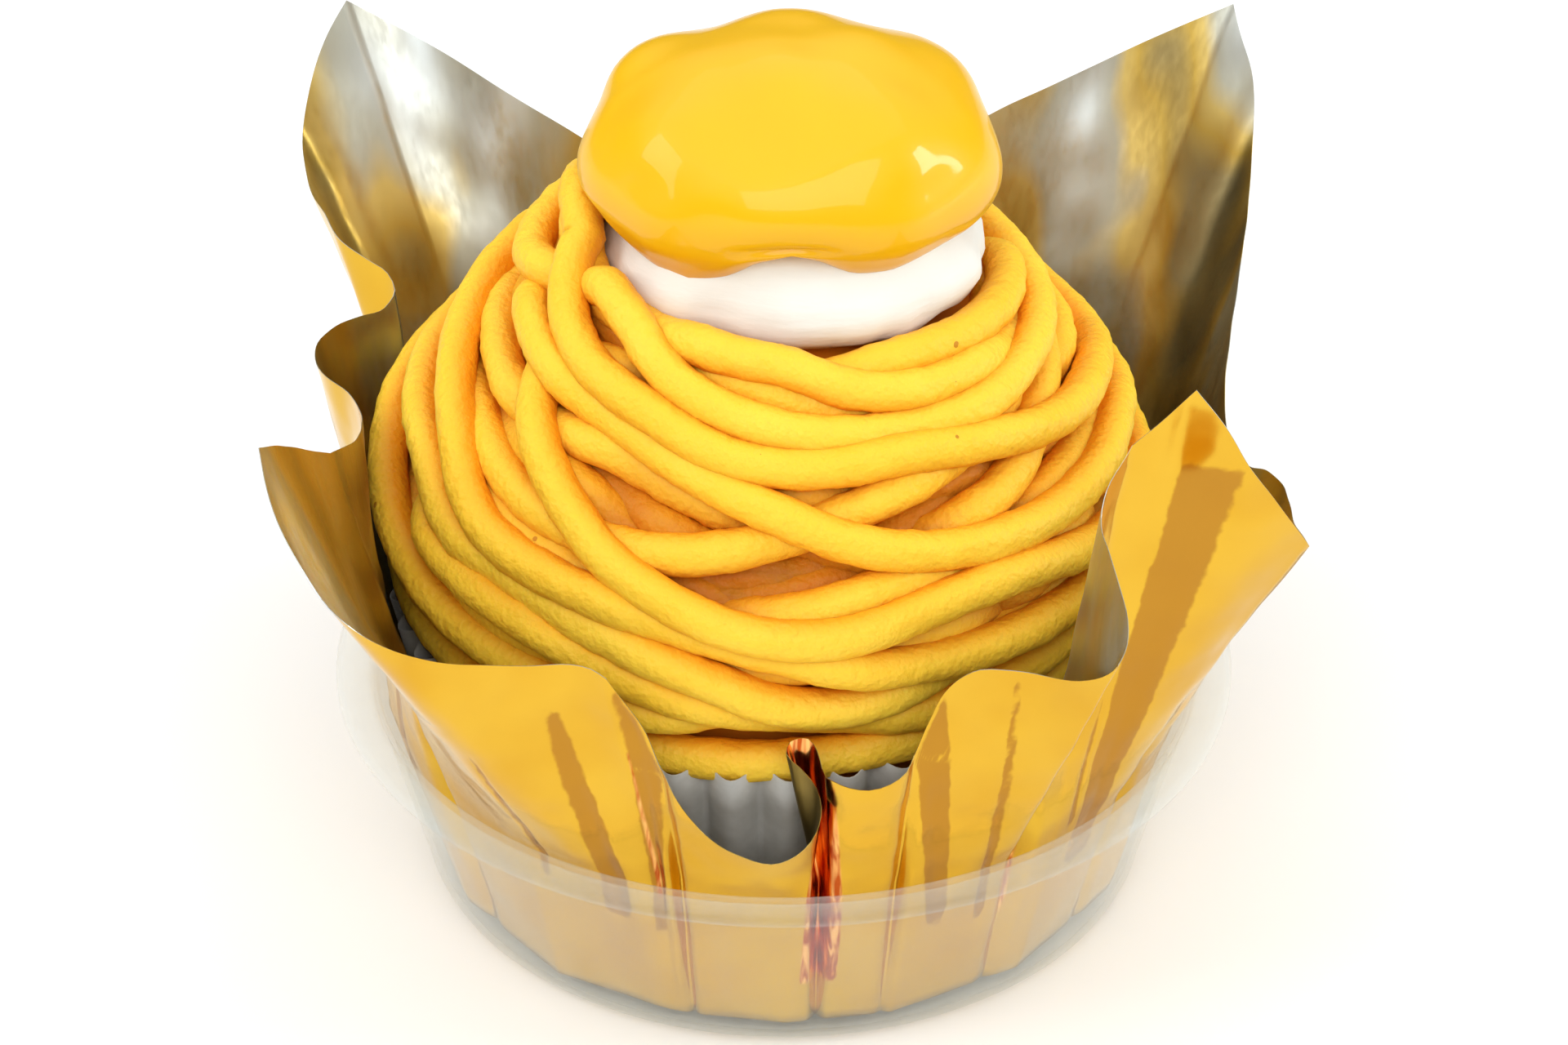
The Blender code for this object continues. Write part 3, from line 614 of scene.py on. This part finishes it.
# Each strand has how deep its bed lies below the surface, and then its azimuth and height round the
# heap. They are in the order of piping, so the last ones lie on top.
STRANDS = (
    (3.6, ((-180, 52), (-90, 50), (0, 51), (90, 55))),
    (1.2, ((-180, 55), (-90, 56), (-30, 50), (0, 49.3), (20, 50.4), (35, 51.2), (50, 52.8), (65, 53.6),
        (80, 54.4), (130, 55.5))),
    (1.0, ((-165, 38), (-120, 34), (-60, 34), (0, 35), (30, 35.8), (50, 37.2), (70, 37.8), (90, 39.2),
        (110, 40), (130, 41.2), (150, 41.4), (165, 41), (180, 40))),
    (3.4, ((-180, 41), (-130, 38), (-70, 40.5), (0, 37), (90, 41))),
    (3.0, ((-180, 36), (-120, 37.5), (-60, 36), (0, 34), (90, 36))),
    (2.0, ((-180, 33.5), (-120, 31), (-60, 33), (0, 32.5), (90, 33.5))),
    (1.2, ((-180, 30), (-90, 30), (0, 30), (90, 30))),
    (3.5, ((-150, 46), (-120, 43.5), (-101, 42), (-87, 41.2), (-60, 41), (0, 42), (90, 46), (170, 48))),
    (3.0, ((-150, 52), (-120, 48), (-100, 45.5), (-88, 44), (-78, 42.5), (-60, 40), (0, 37), (90, 42))),
    (3.5, ((-100, 43), (-75, 44), (-60, 45.5), (-48, 47), (-30, 49), (30, 53), (100, 52), (180, 46))),
    (2.5, ((-150, 53), (-110, 50), (-87, 49.3), (-70, 49), (-54, 48.2), (-35, 47.3), (0, 45), (60, 47),
        (140, 53))),
    (3.0, ((-175, 53), (-155, 50), (-147, 48), (-137, 45.5), (-120, 42), (-80, 39), (0, 38), (90, 44))),
    (2.0, ((-170, 46), (-144, 45), (-127, 44.4), (-112, 42.5), (-90, 40), (-50, 38.5), (20, 41),
        (110, 46))),
    (2.5, ((-90, 42), (-55, 42.5), (-32, 44), (-10, 44.4), (20, 47), (90, 52), (160, 52), (-140, 46))),
    (2.5, ((-175, 49.5), (-161, 49), (-140, 48.6), (-123, 47.5), (-117, 46.3), (-111, 44.7),
        (-95, 41.5), (-50, 38), (30, 39), (110, 46))),
    (2.5, ((-110, 36), (-86, 35), (-67, 35), (-52, 33.5), (-35, 31), (40, 31), (120, 34), (-160, 36))),
    (2.0, ((-90, 42.5), (-70, 44), (-54, 45.6), (-40, 46.6), (-25, 48.5), (30, 53), (100, 54),
        (180, 48))),
    (1.5, ((-110, 36), (-81, 36.8), (-62, 38.3), (-55, 38), (-46, 37), (-35, 35), (-20, 32), (40, 31.5),
        (120, 35), (-160, 37))),
    (0.8, ((-175, 30), (-156, 30), (-138, 31.6), (-115, 32.5), (-80, 31.2), (-40, 31), (40, 33),
        (120, 33))),
    (0.6, ((170, 38), (-175, 35.5), (-160, 34.5), (-145, 33), (-125, 31.8), (-90, 31), (-50, 32),
        (0, 33), (90, 36))),
    (0.3, ((-170, 30.5), (-140, 29.2), (-107, 28.3), (-94, 28), (-81, 28.2), (-63, 28.6), (-20, 29.5),
        (60, 31), (130, 31.5))),
    (0.0, ((165, 43), (179, 40.5), (-167, 38.7), (-154, 36.5), (-141, 34.7), (-125, 33.8), (-106, 32.3),
        (-94, 31.4), (-60, 31), (0, 34), (60, 40), (120, 44))),
    (0.3, ((161, 48.5), (179, 46), (-166, 43.4), (-153, 40.8), (-138, 39.4), (-124, 38.4), (-112, 36.5),
        (-100, 34.2), (-88, 32.2), (-60, 31.5), (0, 36), (60, 42), (120, 48))),
    (2.0, ((160, 52.5), (-170, 52), (-149, 51), (-132, 51), (-117, 50.8), (-103, 49.3), (-90, 47.8),
        (-70, 45), (-40, 42), (20, 42), (90, 48))),
    (2.0, ((175, 61), (-152, 60), (-137, 57.6), (-127, 56.7), (-108, 54.7), (-85, 53.5), (-50, 53.5),
        (0, 55), (90, 60))),
    (1.5, ((-150, 48), (-130, 46), (-114, 45.4), (-101, 45.8), (-87, 47), (-75, 48.2), (-50, 50),
        (0, 53), (90, 55), (160, 50))),
    (1.5, ((-120, 40), (-100, 40.5), (-86, 41.7), (-70, 43), (-59, 43.2), (-45, 42), (-24, 40),
        (30, 40), (100, 45), (170, 45))),
    (1.0, ((-115, 58), (-90, 57.4), (-75, 57.2), (-53, 57.2), (-27, 56.8), (5, 56), (60, 57), (130, 61),
        (-160, 60))),
    (1.5, ((-150, 60), (-125, 58.5), (-105, 57.2), (-86, 55.8), (-68, 54.3), (-40, 53.6), (0, 53),
        (70, 57), (140, 61))),
    (0.5, ((-170, 45.5), (-158, 44.8), (-146, 42.5), (-129, 41.3), (-112, 39.3), (-100, 37.3),
        (-88, 34.3), (-81, 33.3), (-75, 33.5), (-62, 34.9), (-45, 35.5), (0, 39), (60, 43), (130, 46))),
    (0.0, ((155, 54.5), (169, 53), (-175, 51.4), (-160, 49.3), (-149, 47), (-139, 44.3), (-129, 43.4),
        (-113, 42.4), (-98, 40.4), (-80, 38), (-50, 36.5), (0, 37), (60, 43), (110, 50))),
    (0.2, ((-125, 60), (-112, 59.5), (-92, 58.6), (-84, 58.2), (-68, 56.2), (-58, 55.5), (-34, 55),
        (-6, 54.4), (15, 55), (70, 58), (130, 61.5), (-160, 62))),
    (0.0, ((170, 60), (-170, 58.5), (-157, 57), (-146, 54.4), (-137, 51.7), (-126, 48.7), (-113, 45),
        (-100, 42.6), (-88, 40.8), (-76, 40.7), (-63, 42), (-48, 42), (-30, 40), (10, 38), (60, 42),
        (120, 52))),
    (0.2, ((130, 58), (152, 59), (175, 58), (-159, 56.8), (-138, 55), (-119, 53.8), (-102, 51.6),
        (-87, 49.3), (-74, 46.8), (-61, 45.3), (-45, 44.4), (-24, 44.2), (-4, 44.2), (11, 43), (50, 45),
        (90, 52))),
    (0.0, ((-175, 58.5), (-155, 60.2), (-138, 61), (-123, 59.4), (-109, 57), (-95, 55.3), (-79, 54),
        (-62, 53.6), (-42, 53), (-23, 53.4), (0, 54), (50, 58), (110, 61), (150, 59.5))),
    (0.0, ((150, 62), (-166, 63), (-150, 59.3), (-133, 56.7), (-112, 54.8), (-95, 52.7), (-79, 52),
        (-63, 52), (-46, 51), (-23, 49), (2, 47.4), (15, 46), (50, 49), (90, 55))),
)
TOPPING_X = 0.8
CREAM_RADIUS = 15.6
# Between these heights the strands begin to keep clear of the whipped cream.
CREAM_HEIGHTS = (52, 56)
CREAM_CLEARANCE = 0.3
TRIAL_STEP = 0.15
HEIGHT_EASING = 12
DEPTH_EASING = 26
# The height that the strands' outer sides face away from, and how flat the heap is about it. The
# paste's painted crevice shade reads how far a face turns from there.
HEAP_MIDDLE = 30
HEAP_FLATNESS = 0.75
DIMPLE_DEPTH = 0.12
NOZZLE_SIDES = 20
# How much thicker a strand gets where it swells, and the step in tone from one strand to the next.
SWELLING = 0.12
TONE_STEP = 2.4


def ring_heights(stations, count):
    """Heights at even turns round the heap, smooth through the stations."""
    known = sorted((azimuth % 360, height) for azimuth, height in stations)
    turns = np.array([k[0] for k in known])
    heights = np.array([k[1] for k in known], float)
    turns = np.concatenate([turns[-2:] - 360, turns, turns[:2] + 360])
    heights = np.concatenate([heights[-2:], heights, heights[:2]])
    slopes = np.gradient(heights, turns)
    wanted = np.arange(count) * 360 / count
    at = np.clip(np.searchsorted(turns, wanted, side="right") - 1, 0, len(turns) - 2)
    span = turns[at + 1] - turns[at]
    share = (wanted - turns[at]) / span
    return smooth_between(share, heights[at], slopes[at] * span, heights[at + 1], slopes[at + 1] * span)


def eased(values, passes):
    """The values round a ring, with their steps smoothed out."""
    for _ in range(passes):
        values = (np.roll(values, 1) + 2 * values + np.roll(values, -1)) / 4
    return values


def free_depth(start, out, bed, placed):
    """How far in from its start each point of a strand finds the first free place."""
    depth = np.zeros(STRAND_POINTS)
    if not len(placed):
        return depth
    apart = 2 * STRAND_RADIUS * PRESSED
    away = placed[None] - start[:, None]
    below = -np.einsum("ijk,ik->ij", away, out)
    aside = (away**2).sum(2) - below**2
    near = np.argwhere((aside < apart**2) & (below < DEEPEST + apart))
    width = np.sqrt(apart**2 - aside[near[:, 0], near[:, 1]])
    below = below[near[:, 0], near[:, 1]]
    settled = np.zeros(STRAND_POINTS, bool)
    depth[:] = DEEPEST - bed
    for trial in np.arange(0, DEEPEST - bed, TRIAL_STEP):
        free = np.ones(STRAND_POINTS, bool)
        free[near[np.abs(trial - below) < width, 0]] = False
        depth[free & ~settled] = trial
        settled |= free
    return depth


def lay_strands():
    """Lays the last strand on the surface, and each one before it at the first free depth below."""
    turns = np.radians(np.arange(STRAND_POINTS) * 360 / STRAND_POINTS)
    cream_foot, cream_full = CREAM_HEIGHTS
    placed = np.empty((0, 3))
    lines = []
    for bed, stations in reversed(STRANDS):
        height = eased(ring_heights(stations, STRAND_POINTS), HEIGHT_EASING)
        surface = np.interp(height, HEAP_HEIGHTS, HEAP_RADII)
        slope = np.interp(height, HEAP_HEIGHTS, np.gradient(HEAP_RADII, HEAP_HEIGHTS))
        tilt = 1 / np.sqrt(1 + slope**2)
        out = np.stack([np.cos(turns) * tilt, np.sin(turns) * tilt, -slope * tilt], 1)
        base = surface - STRAND_RADIUS - bed / tilt
        start = np.stack([base * np.cos(turns), base * np.sin(turns), height], 1)
        depth = free_depth(start, out, bed, placed)
        depth = np.maximum(depth, np.maximum(np.roll(depth, 1), np.roll(depth, -1)))
        depth = eased(depth, DEPTH_EASING)
        line = start - out * depth[:, None]
        shift = line[:, :2] + np.array([CAKE_X - TOPPING_X, 0])
        gap = np.linalg.norm(shift, axis=1)
        beside = np.clip((line[:, 2] - cream_foot) / (cream_full - cream_foot), 0, 1)
        beside = beside * beside * (3 - 2 * beside)
        clear = CREAM_RADIUS + STRAND_RADIUS + CREAM_CLEARANCE
        grow = 1 + np.maximum(clear / gap - 1, 0) * beside
        line[:, :2] = shift * grow[:, None] + np.array([TOPPING_X, 0])
        placed = np.concatenate([placed, line - np.array([CAKE_X, 0, 0])])
        lines.append((line, depth + bed))
    return lines[::-1]


def strand_nodes():
    """The node tree that pipes round strands along the edges of a mesh, and its named inputs."""
    group = bpy.data.node_groups.new("piped_strands", "GeometryNodeTree")
    face = group.interface
    face.new_socket("Geometry", in_out="INPUT", socket_type="NodeSocketGeometry")
    inputs = {
        name: face.new_socket(name, in_out="INPUT", socket_type=kind).identifier
        for name, kind in (
            ("Strand radius", "NodeSocketFloat"),
            ("Sides", "NodeSocketInt"),
            ("Swelling", "NodeSocketFloat"),
            ("Seed", "NodeSocketFloat"),
            ("Paste", "NodeSocketMaterial"),
        )
    }
    face.new_socket("Geometry", in_out="OUTPUT", socket_type="NodeSocketGeometry")
    given = add_node(group, "NodeGroupInput").outputs
    vectors = "ShaderNodeVectorMath"

    def made(kind, links, settings=None, values=None):
        """The first output of a new node."""
        return add_node(group, kind, settings, values, links).outputs[0]

    def uneven(**values):
        """A cloudy field that the seed sets."""
        return made("ShaderNodeTexNoise", {"W": given["Seed"]}, {"noise_dimensions": "4D"}, values)

    swing = reckon(group, "MULTIPLY_ADD", uneven(Scale=130.0, Detail=1.0), given["Swelling"], 1.0)
    thickness = reckon(group, "MULTIPLY", swing, given["Strand radius"])
    nozzle = made(
        "GeometryNodeCurvePrimitiveCircle", {"Resolution": given["Sides"]}, {}, {"Radius": 1.0}
    )
    routes = made("GeometryNodeMeshToCurve", {"Mesh": given["Geometry"]})
    piped = made(
        "GeometryNodeCurveToMesh", {"Curve": routes, "Profile Curve": nozzle, "Scale": thickness}
    )
    # How far each face turns out of the heap, which the paste reads for its painted crevice shade.
    facing = add_node(group, "GeometryNodeInputNormal").outputs["Normal"]
    place = add_node(group, "GeometryNodeInputPosition").outputs["Position"]
    flatten = (1, 1, HEAP_FLATNESS)
    middle = (-CAKE_X * MM, 0, -HEAP_FLATNESS * HEAP_MIDDLE * MM)
    from_middle = reckon(group, "MULTIPLY_ADD", place, flatten, middle, kind=vectors)
    outward = reckon(group, "NORMALIZE", from_middle, kind=vectors)
    outness = add_node(group, vectors, {"operation": "DOT_PRODUCT"}, {}, {0: facing, 1: outward})
    marked = made(
        "GeometryNodeStoreNamedAttribute",
        {"Geometry": piped, "Value": outness.outputs["Value"]},
        {"data_type": "FLOAT", "domain": "POINT"},
        {"Name": "outness"},
    )
    deep = DIMPLE_DEPTH * MM
    dimples = uneven(Scale=520.0, Detail=2.0, Roughness=0.6)
    push = spread(group, dimples, 0.3, 0.7, -deep, deep)
    offset = made(vectors, {0: facing, "Scale": push}, {"operation": "SCALE"})
    dimpled = made("GeometryNodeSetPosition", {"Geometry": marked, "Offset": offset})
    smooth = made("GeometryNodeSetShadeSmooth", {"Geometry": dimpled})
    real = made("GeometryNodeRealizeInstances", {"Geometry": smooth})
    finished = made("GeometryNodeSetMaterial", {"Geometry": real, "Material": given["Paste"]})
    add_node(group, "NodeGroupOutput", links={"Geometry": finished})
    return group, inputs


def pipe_strands(name, lines, seed, material):
    """A mesh of strands along closed middle lines, each with a tone of its own."""
    points = [tuple(float(c) * MM for c in point) for line, _ in lines for point in line]
    edges = []
    for number in range(len(lines)):
        low = number * STRAND_POINTS
        edges.extend((low + k, low + (k + 1) % STRAND_POINTS) for k in range(STRAND_POINTS))
    mesh = bpy.data.meshes.new(name)
    mesh.from_pydata(points, edges, [])
    tones = [math.sin(seed + number * TONE_STEP) * 0.5 + 0.5 for number in range(len(lines))]
    # How deep each strand lies, which the paste reads for its painted shade.
    depths = np.concatenate([depth for _, depth in lines]) / DEEPEST
    for label, values in (("tone", np.repeat(tones, STRAND_POINTS)), ("sunk", depths)):
        mark = mesh.attributes.new(label, "FLOAT", "POINT")
        mark.data.foreach_set("value", values.astype(np.float32))
    piece = bpy.data.objects.new(name, mesh)
    scene.collection.objects.link(piece)
    piping = piece.modifiers.new("piping", "NODES")
    piping.node_group = strand_group
    for label, value in (
        ("Strand radius", STRAND_RADIUS * MM),
        ("Sides", NOZZLE_SIDES),
        ("Swelling", SWELLING),
        ("Seed", float(seed)),
        ("Paste", material),
    ):
        piping[strand_inputs[label]] = value
    made_plain(piece, name)
    return piece


# Sweet chestnut paste: sieved, buttery and dense. It gives a satin yellow surface that light sinks
# into, with pores where air broke out of the nozzle and a few brown flecks of chestnut skin. Shade is
# painted into its colour: deeper orange on the strands that lie deep, orange brown in the gaps
# between them and orange where a face turns in between its neighbours.
chestnut_paste, tree, shader = start_material(
    "chestnut_paste",
    Roughness=0.5,
    Specular_IOR_Level=0.2,
    Subsurface_Weight=0.25,
    Subsurface_Radius=(1.0, 0.55, 0.12),
    Subsurface_Scale=0.0015,
)
place = place_in(tree)
sunk = mark_in(tree, "sunk")
drift = noise(tree, place, 160.0, 3.0)
shade_share = reckon(tree, "MULTIPLY_ADD", mark_in(tree, "tone"), 0.35, drift)
body_colour = blend(tree, shade_share, "FFC22A", "FFD242")
# Painted shade: the strands that lie deep turn deeper orange, and the deepest, in the gaps, orange brown.
sunk_painted_shade = blend(tree, spread(tree, sunk, 0.2, 1.0, 0.0, 0.7), body_colour, "F0AE2A")
gap_painted_shade = blend(tree, spread(tree, sunk, 0.5, 0.85, 0.0, 0.85), sunk_painted_shade, "C9761A")
# Painted shade: orange where a face turns in between its neighbours.
crevice_shade_share = spread(tree, mark_in(tree, "outness"), 0.92, 0.0)
crevice_painted_shade = blend(tree, crevice_shade_share, gap_painted_shade, "F09E18")
fleck_cells = add_node(tree, "ShaderNodeTexVoronoi", {}, {"Scale": 210.0}, {"Vector": place})
fleck_pick = add_node(tree, "ShaderNodeSeparateColor", links={"Color": fleck_cells.outputs["Color"]})
fleck_size = spread(tree, fleck_pick.outputs["Red"], 0.45, 1.0, 0.0, 0.075)
fleck = reckon(tree, "LESS_THAN", fleck_cells.outputs["Distance"], fleck_size)
paste_colour = blend(tree, fleck, crevice_painted_shade, "C98A1E")
lumps = relief(tree, noise(tree, place, 420.0), 0.5, 0.0004)
pores = relief(tree, noise(tree, place, 1500.0), 0.8, 0.0003, Normal=lumps)
feed(tree, shader, Base_Color=paste_colour, Normal=pores)

# The core is the same cream, seen only between the strands. Its colour is painted shade, a deep
# orange brown for the shadow there.
core_cream, tree, shader = start_material("core_cream_painted_shade", Roughness=0.7, Specular_IOR_Level=0.1)
drift = noise(tree, place_in(tree), 300.0, 4.0)
# Painted shade of the gaps between the strands.
core_painted_shade = blend(tree, drift, "C8640C", "DC8018")
feed(tree, shader, Base_Color=core_painted_shade, Normal=relief(tree, drift, 0.6, 0.0006))

CORE_STEPS = 96
CORE_DEPTH = 6.8
core_rings = [(0, 2.4), (24.6, 2.4), (25.4, 3.0), (27.6, 22.0), (27.2, 26.0)]
core_rings += [(radius - CORE_DEPTH, height) for radius, height in zip(HEAP_RADII, HEAP_HEIGHTS)][1:8]
core_rings += [(14.0, 56.2), (12.0, 56.8), (0, 56.8)]
core = new_piece("cream_core", *turned(core_rings, CORE_STEPS, CAKE_X), core_cream)
ride_and_replace(core, "chestnut_cream")

strand_group, strand_inputs = strand_nodes()
strand_lines = lay_strands()
for name, seed, first, last in (
    ("buried_strands", 3, 0, 14),
    ("middle_strands", 5, 14, 26),
    ("upper_strands", 8, 26, 36),
):
    strands = pipe_strands(name, strand_lines[first:last], seed, chestnut_paste)
    ride_and_replace(strands, "chestnut_cream")


# Whipped cream
# A flat disc of stiffly whipped cream that seats the chestnut. A palette knife leaves its side
# uneven, and it is pressed down a little by the chestnut.
CREAM_STEPS = 120
# The knife's marks: how fast they vary and how far they push the side, first broad and then fine.
BROAD_MARKS = (0.16, 0.9)
FINE_MARKS = (0.45, 0.35)
# Inside this radius the disc keeps its form. The foot sags below one height, fully at the other.
KNIFED_RADIUS = 12
SAG_HEIGHTS = (57, 60.5)
SAG_RATE = 0.22
SAG_DEPTH = 1.1
CREAM_RINGS = (
    (0, 57), (9, 56.9), (12.6, 56.9), (14.4, 57.2), (15.3, 58), (15.7, 59.1), (15.6, 60.3), (15, 61.6),
    (14.3, 62.8), (13.8, 63.8), (13.2, 64.6), (12.4, 64.9), (10, 64.8), (0, 64.7),
)
broad, broad_push = BROAD_MARKS
fine, fine_push = FINE_MARKS
cream_points, cream_faces = turned(CREAM_RINGS, CREAM_STEPS, TOPPING_X)
knifed = []
for x, y, z in cream_points:
    radius = math.hypot(x - TOPPING_X, y)
    share = min(radius / KNIFED_RADIUS, 1) ** 3
    around = Vector((x, y, z / 2))
    push = (rough.noise(around * broad) * broad_push + rough.noise(around * fine) * fine_push) * share
    low_share = np.interp(z, SAG_HEIGHTS, (1, 0)) * share
    sag = rough.noise(Vector((x * SAG_RATE, y * SAG_RATE, 3))) * SAG_DEPTH * low_share
    grow = 1 + push / max(radius, 1)
    knifed.append((TOPPING_X + (x - TOPPING_X) * grow, y * grow, z - sag))

# Whipped dairy cream: fat and air, so it is nearly white, matt and softly lit from inside, with
# fine drag marks from the knife.
whipped_cream, tree, shader = start_material(
    "whipped_dairy_cream", Roughness=0.55, Specular_IOR_Level=0.3
)
drags = noise(tree, place_in(tree, (90, 90, 420)), detail=5.0)
cream_tint = blend(tree, drags, "E6E8E2", "F2F2EA")
feed(tree, shader, Base_Color=cream_tint, Normal=relief(tree, drags, 0.5, 0.0005))

cream = new_piece("whipped_cream_disc", knifed, cream_faces, whipped_cream)
ride_and_replace(cream, "whipped_cream")


# Glazed chestnut
# A whole peeled chestnut, candied in yellow syrup and glazed. It keeps the nut's lobes and shallow
# creases, and its colour deepens towards its lower edge.
CHESTNUT_MIDDLE = (0.6, 0.0, 66.7)
CHESTNUT_HALF = (17.2, 15.2, 10.8)
NUT_TURNS = 128
NUT_RISES = 72
# How full the flanks are above and below the widest level: less is fuller.
UPPER_FLANK = 0.92
LOWER_FLANK = 0.24
# Underneath it is flat where it sits on the cream.
SEAT_RADIUS = 12.4
SEAT_HEIGHT = 64.75
# The skin's soft unevenness: how fast it varies and how high it is.
RIPPLES = (0.16, 0.35)
# How far the underside hangs below the widest level, by azimuth.
NUT_SKIRT = ((-180, 2.4), (-160, 3.2), (-145, 4.6), (-132, 6.0), (-121, 6.4), (-110, 4.6), (-100, 2.4))
NUT_SKIRT += ((-90, 1.5), (-82, 2.6), (-72, 4.2), (-60, 4.6), (-45, 4.4), (-25, 3.6), (60, 3.0), (180, 2.4))
# Lobes and hollows: azimuth, rise, half width in degrees, and height in millimetres.
NUT_LOBES = (
    (-128, -6, 28, 0.5), (-60, -6, 28, 0.4), (-92, -8, 22, -0.7), (-165, 5, 34, 0.5),
    (151, 37, 24, 0.9), (29, 37, 24, 0.7), (90, 57, 22, 0.5), (122, 50, 18, -0.4), (58, 50, 18, -0.3),
    (172, 18, 20, -0.4), (8, 15, 20, -0.3), (-100, 48, 26, -0.5), (-140, 38, 26, 0.4),
    (-50, 40, 26, 0.5), (-98, 18, 22, 0.3),
)


def nut_point(turn, rise):
    """A point of the chestnut's surface."""
    level = math.sin(rise)
    flank = math.cos(rise) ** (UPPER_FLANK if rise > 0 else LOWER_FLANK)
    way = np.array((math.cos(rise) * math.cos(turn), math.cos(rise) * math.sin(turn), level))
    azimuth = math.degrees(turn + math.pi) % 360 - 180
    hang = np.interp(azimuth, *zip(*NUT_SKIRT))
    half_x, half_y, half_z = CHESTNUT_HALF
    point = np.array(
        (
            half_x * flank * math.cos(turn),
            half_y * flank * math.sin(turn),
            (half_z if rise > 0 else hang) * level,
        )
    )
    height = 0.0
    for azimuth, lift, half_width, size in NUT_LOBES:
        a, b = math.radians(azimuth), math.radians(lift)
        lobe = np.array((math.cos(b) * math.cos(a), math.cos(b) * math.sin(a), math.sin(b)))
        apart = math.degrees(math.acos(max(min(float(way @ lobe), 1), -1)))
        height += size * math.cos(min(apart / half_width, 1) * math.pi / 2) ** 2
    ripple, ripple_height = RIPPLES
    height += rough.noise(Vector(point) * ripple) * ripple_height
    x, y, z = point + way * height + np.array(CHESTNUT_MIDDLE)
    if math.hypot(x - TOPPING_X, y) < SEAT_RADIUS:
        z = max(z, SEAT_HEIGHT)
    return x, y, z


nut_points = [nut_point(0, -math.pi / 2)]
for level in range(1, NUT_RISES):
    rise = -math.pi / 2 + math.pi * level / NUT_RISES
    nut_points.extend(nut_point(2 * math.pi * step / NUT_TURNS, rise) for step in range(NUT_TURNS))
nut_points.append(nut_point(0, math.pi / 2))

# Candied chestnut under syrup glaze: dense, waxy and bright yellow, deeper yellow towards the
# bottom and in random pools, with a wet clear coat over it.
glazed_nut, tree, shader = start_material(
    "syrup_glazed_chestnut",
    Roughness=0.38,
    Specular_IOR_Level=0.2,
    Subsurface_Weight=0.12,
    Subsurface_Radius=(1.0, 0.8, 0.2),
    Subsurface_Scale=0.002,
    Coat_Weight=0.45,
    Coat_Roughness=0.06,
    Coat_IOR=1.45,
)
place = place_in(tree)
height = add_node(tree, "ShaderNodeSeparateXYZ", links={"Vector": place}).outputs["Z"]
# Deeper yellow below a height just over the middle, and in random pools.
low_share = spread(tree, height, 0.0625, 0.0685, 1.0, 0.0)
pools = noise(tree, place, 75.0)
lower_deepening_share = reckon(tree, "MULTIPLY_ADD", pools, 0.35, low_share, use_clamp=True)
nut_colour = blend(tree, lower_deepening_share, "F3BE06", "E3A202")
glaze = relief(tree, pools, 0.3, 0.0015)
feed(tree, shader, Base_Color=nut_colour, Normal=glaze, Coat_Normal=glaze)

nut_faces = ring_faces(NUT_TURNS, NUT_RISES - 1)
nut = new_piece("glazed_chestnut_whole", nut_points, nut_faces, glazed_nut)
ride_and_replace(nut, "glazed_chestnut")


# Studio
# A plain pale floor, a room and soft boxes over, left and right of and in front of the cake, with
# the camera at the photograph's height and distance.
FLOOR_HALF = 1500
FLOOR_LEVEL = -0.1
# The photograph's view: its width and focal length in pixels, and its place and tilt.
VIEW_WIDTH = 1920
VIEW_FOCUS = 5130
VIEW_PLACE = (0, -303.1, 225.9)
VIEW_TILT = 57.35

pale_floor, tree, shader = start_material("pale_floor_paper", Base_Color=linear("FCFCFB"), Roughness=0.8)
feed(tree, shader, Normal=relief(tree, noise(tree, place_in(tree), 400.0), 0.05, 0.0001))
floor_corners = [
    (x * FLOOR_HALF, y * FLOOR_HALF, FLOOR_LEVEL) for x, y in ((-1, -1), (1, -1), (1, 1), (-1, 1))
]
floor = new_piece("floor", floor_corners, [(0, 1, 2, 3)], pale_floor)

# The room is dim and brown near the floor and bright overhead, which the foil mirrors.
world = bpy.data.worlds.new("studio")
world.use_nodes = True
room = world.node_tree
view = add_node(room, "ShaderNodeTexCoord").outputs["Generated"]
view_rise = add_node(room, "ShaderNodeSeparateXYZ", links={"Vector": view}).outputs["Z"]
overhead = spread(room, view_rise, 0.1, 0.65, interpolation_type="SMOOTHSTEP")
background = room.nodes["Background"]
background.inputs["Strength"].default_value = 0.8
room.links.new(blend(room, overhead, "5A4E36", "F4F6F8"), background.inputs["Color"])
scene.world = world


def soft_box(name, place_mm, aim_mm, size_mm, watts):
    """A rectangular soft light that faces a point."""
    light = bpy.data.lights.new(name, "AREA")
    light.shape = "RECTANGLE"
    light.size = size_mm[0] * MM
    light.size_y = size_mm[1] * MM
    light.energy = watts
    lamp = bpy.data.objects.new(name, light)
    lamp.location = Vector(place_mm) * MM
    lamp.rotation_euler = (Vector(place_mm) - Vector(aim_mm)).to_track_quat("Z", "Y").to_euler()
    scene.collection.objects.link(lamp)


soft_box("overhead_box", (-60, 60, 760), (0, 0, 30), (1300, 1100), 2.3)
soft_box("left_box", (-620, -160, 400), (0, 0, 40), (400, 480), 1.8)
soft_box("right_window", (560, -40, 220), (0, 0, 66), (130, 250), 1.3)
soft_box("front_fill", (40, -600, 480), (0, 0, 40), (640, 400), 2.2)

camera_data = bpy.data.cameras.new("photo_view")
camera_data.sensor_width = 36
camera_data.lens = camera_data.sensor_width * VIEW_FOCUS / VIEW_WIDTH
camera_data.clip_start = 0.01
camera_data.clip_end = 20
camera = bpy.data.objects.new("photo_view", camera_data)
camera.location = Vector(VIEW_PLACE) * MM
camera.rotation_euler = (math.radians(VIEW_TILT), 0, 0)
scene.collection.objects.link(camera)
scene.camera = camera
scene.view_settings.view_transform = "Standard"
scene.view_settings.look = "None"
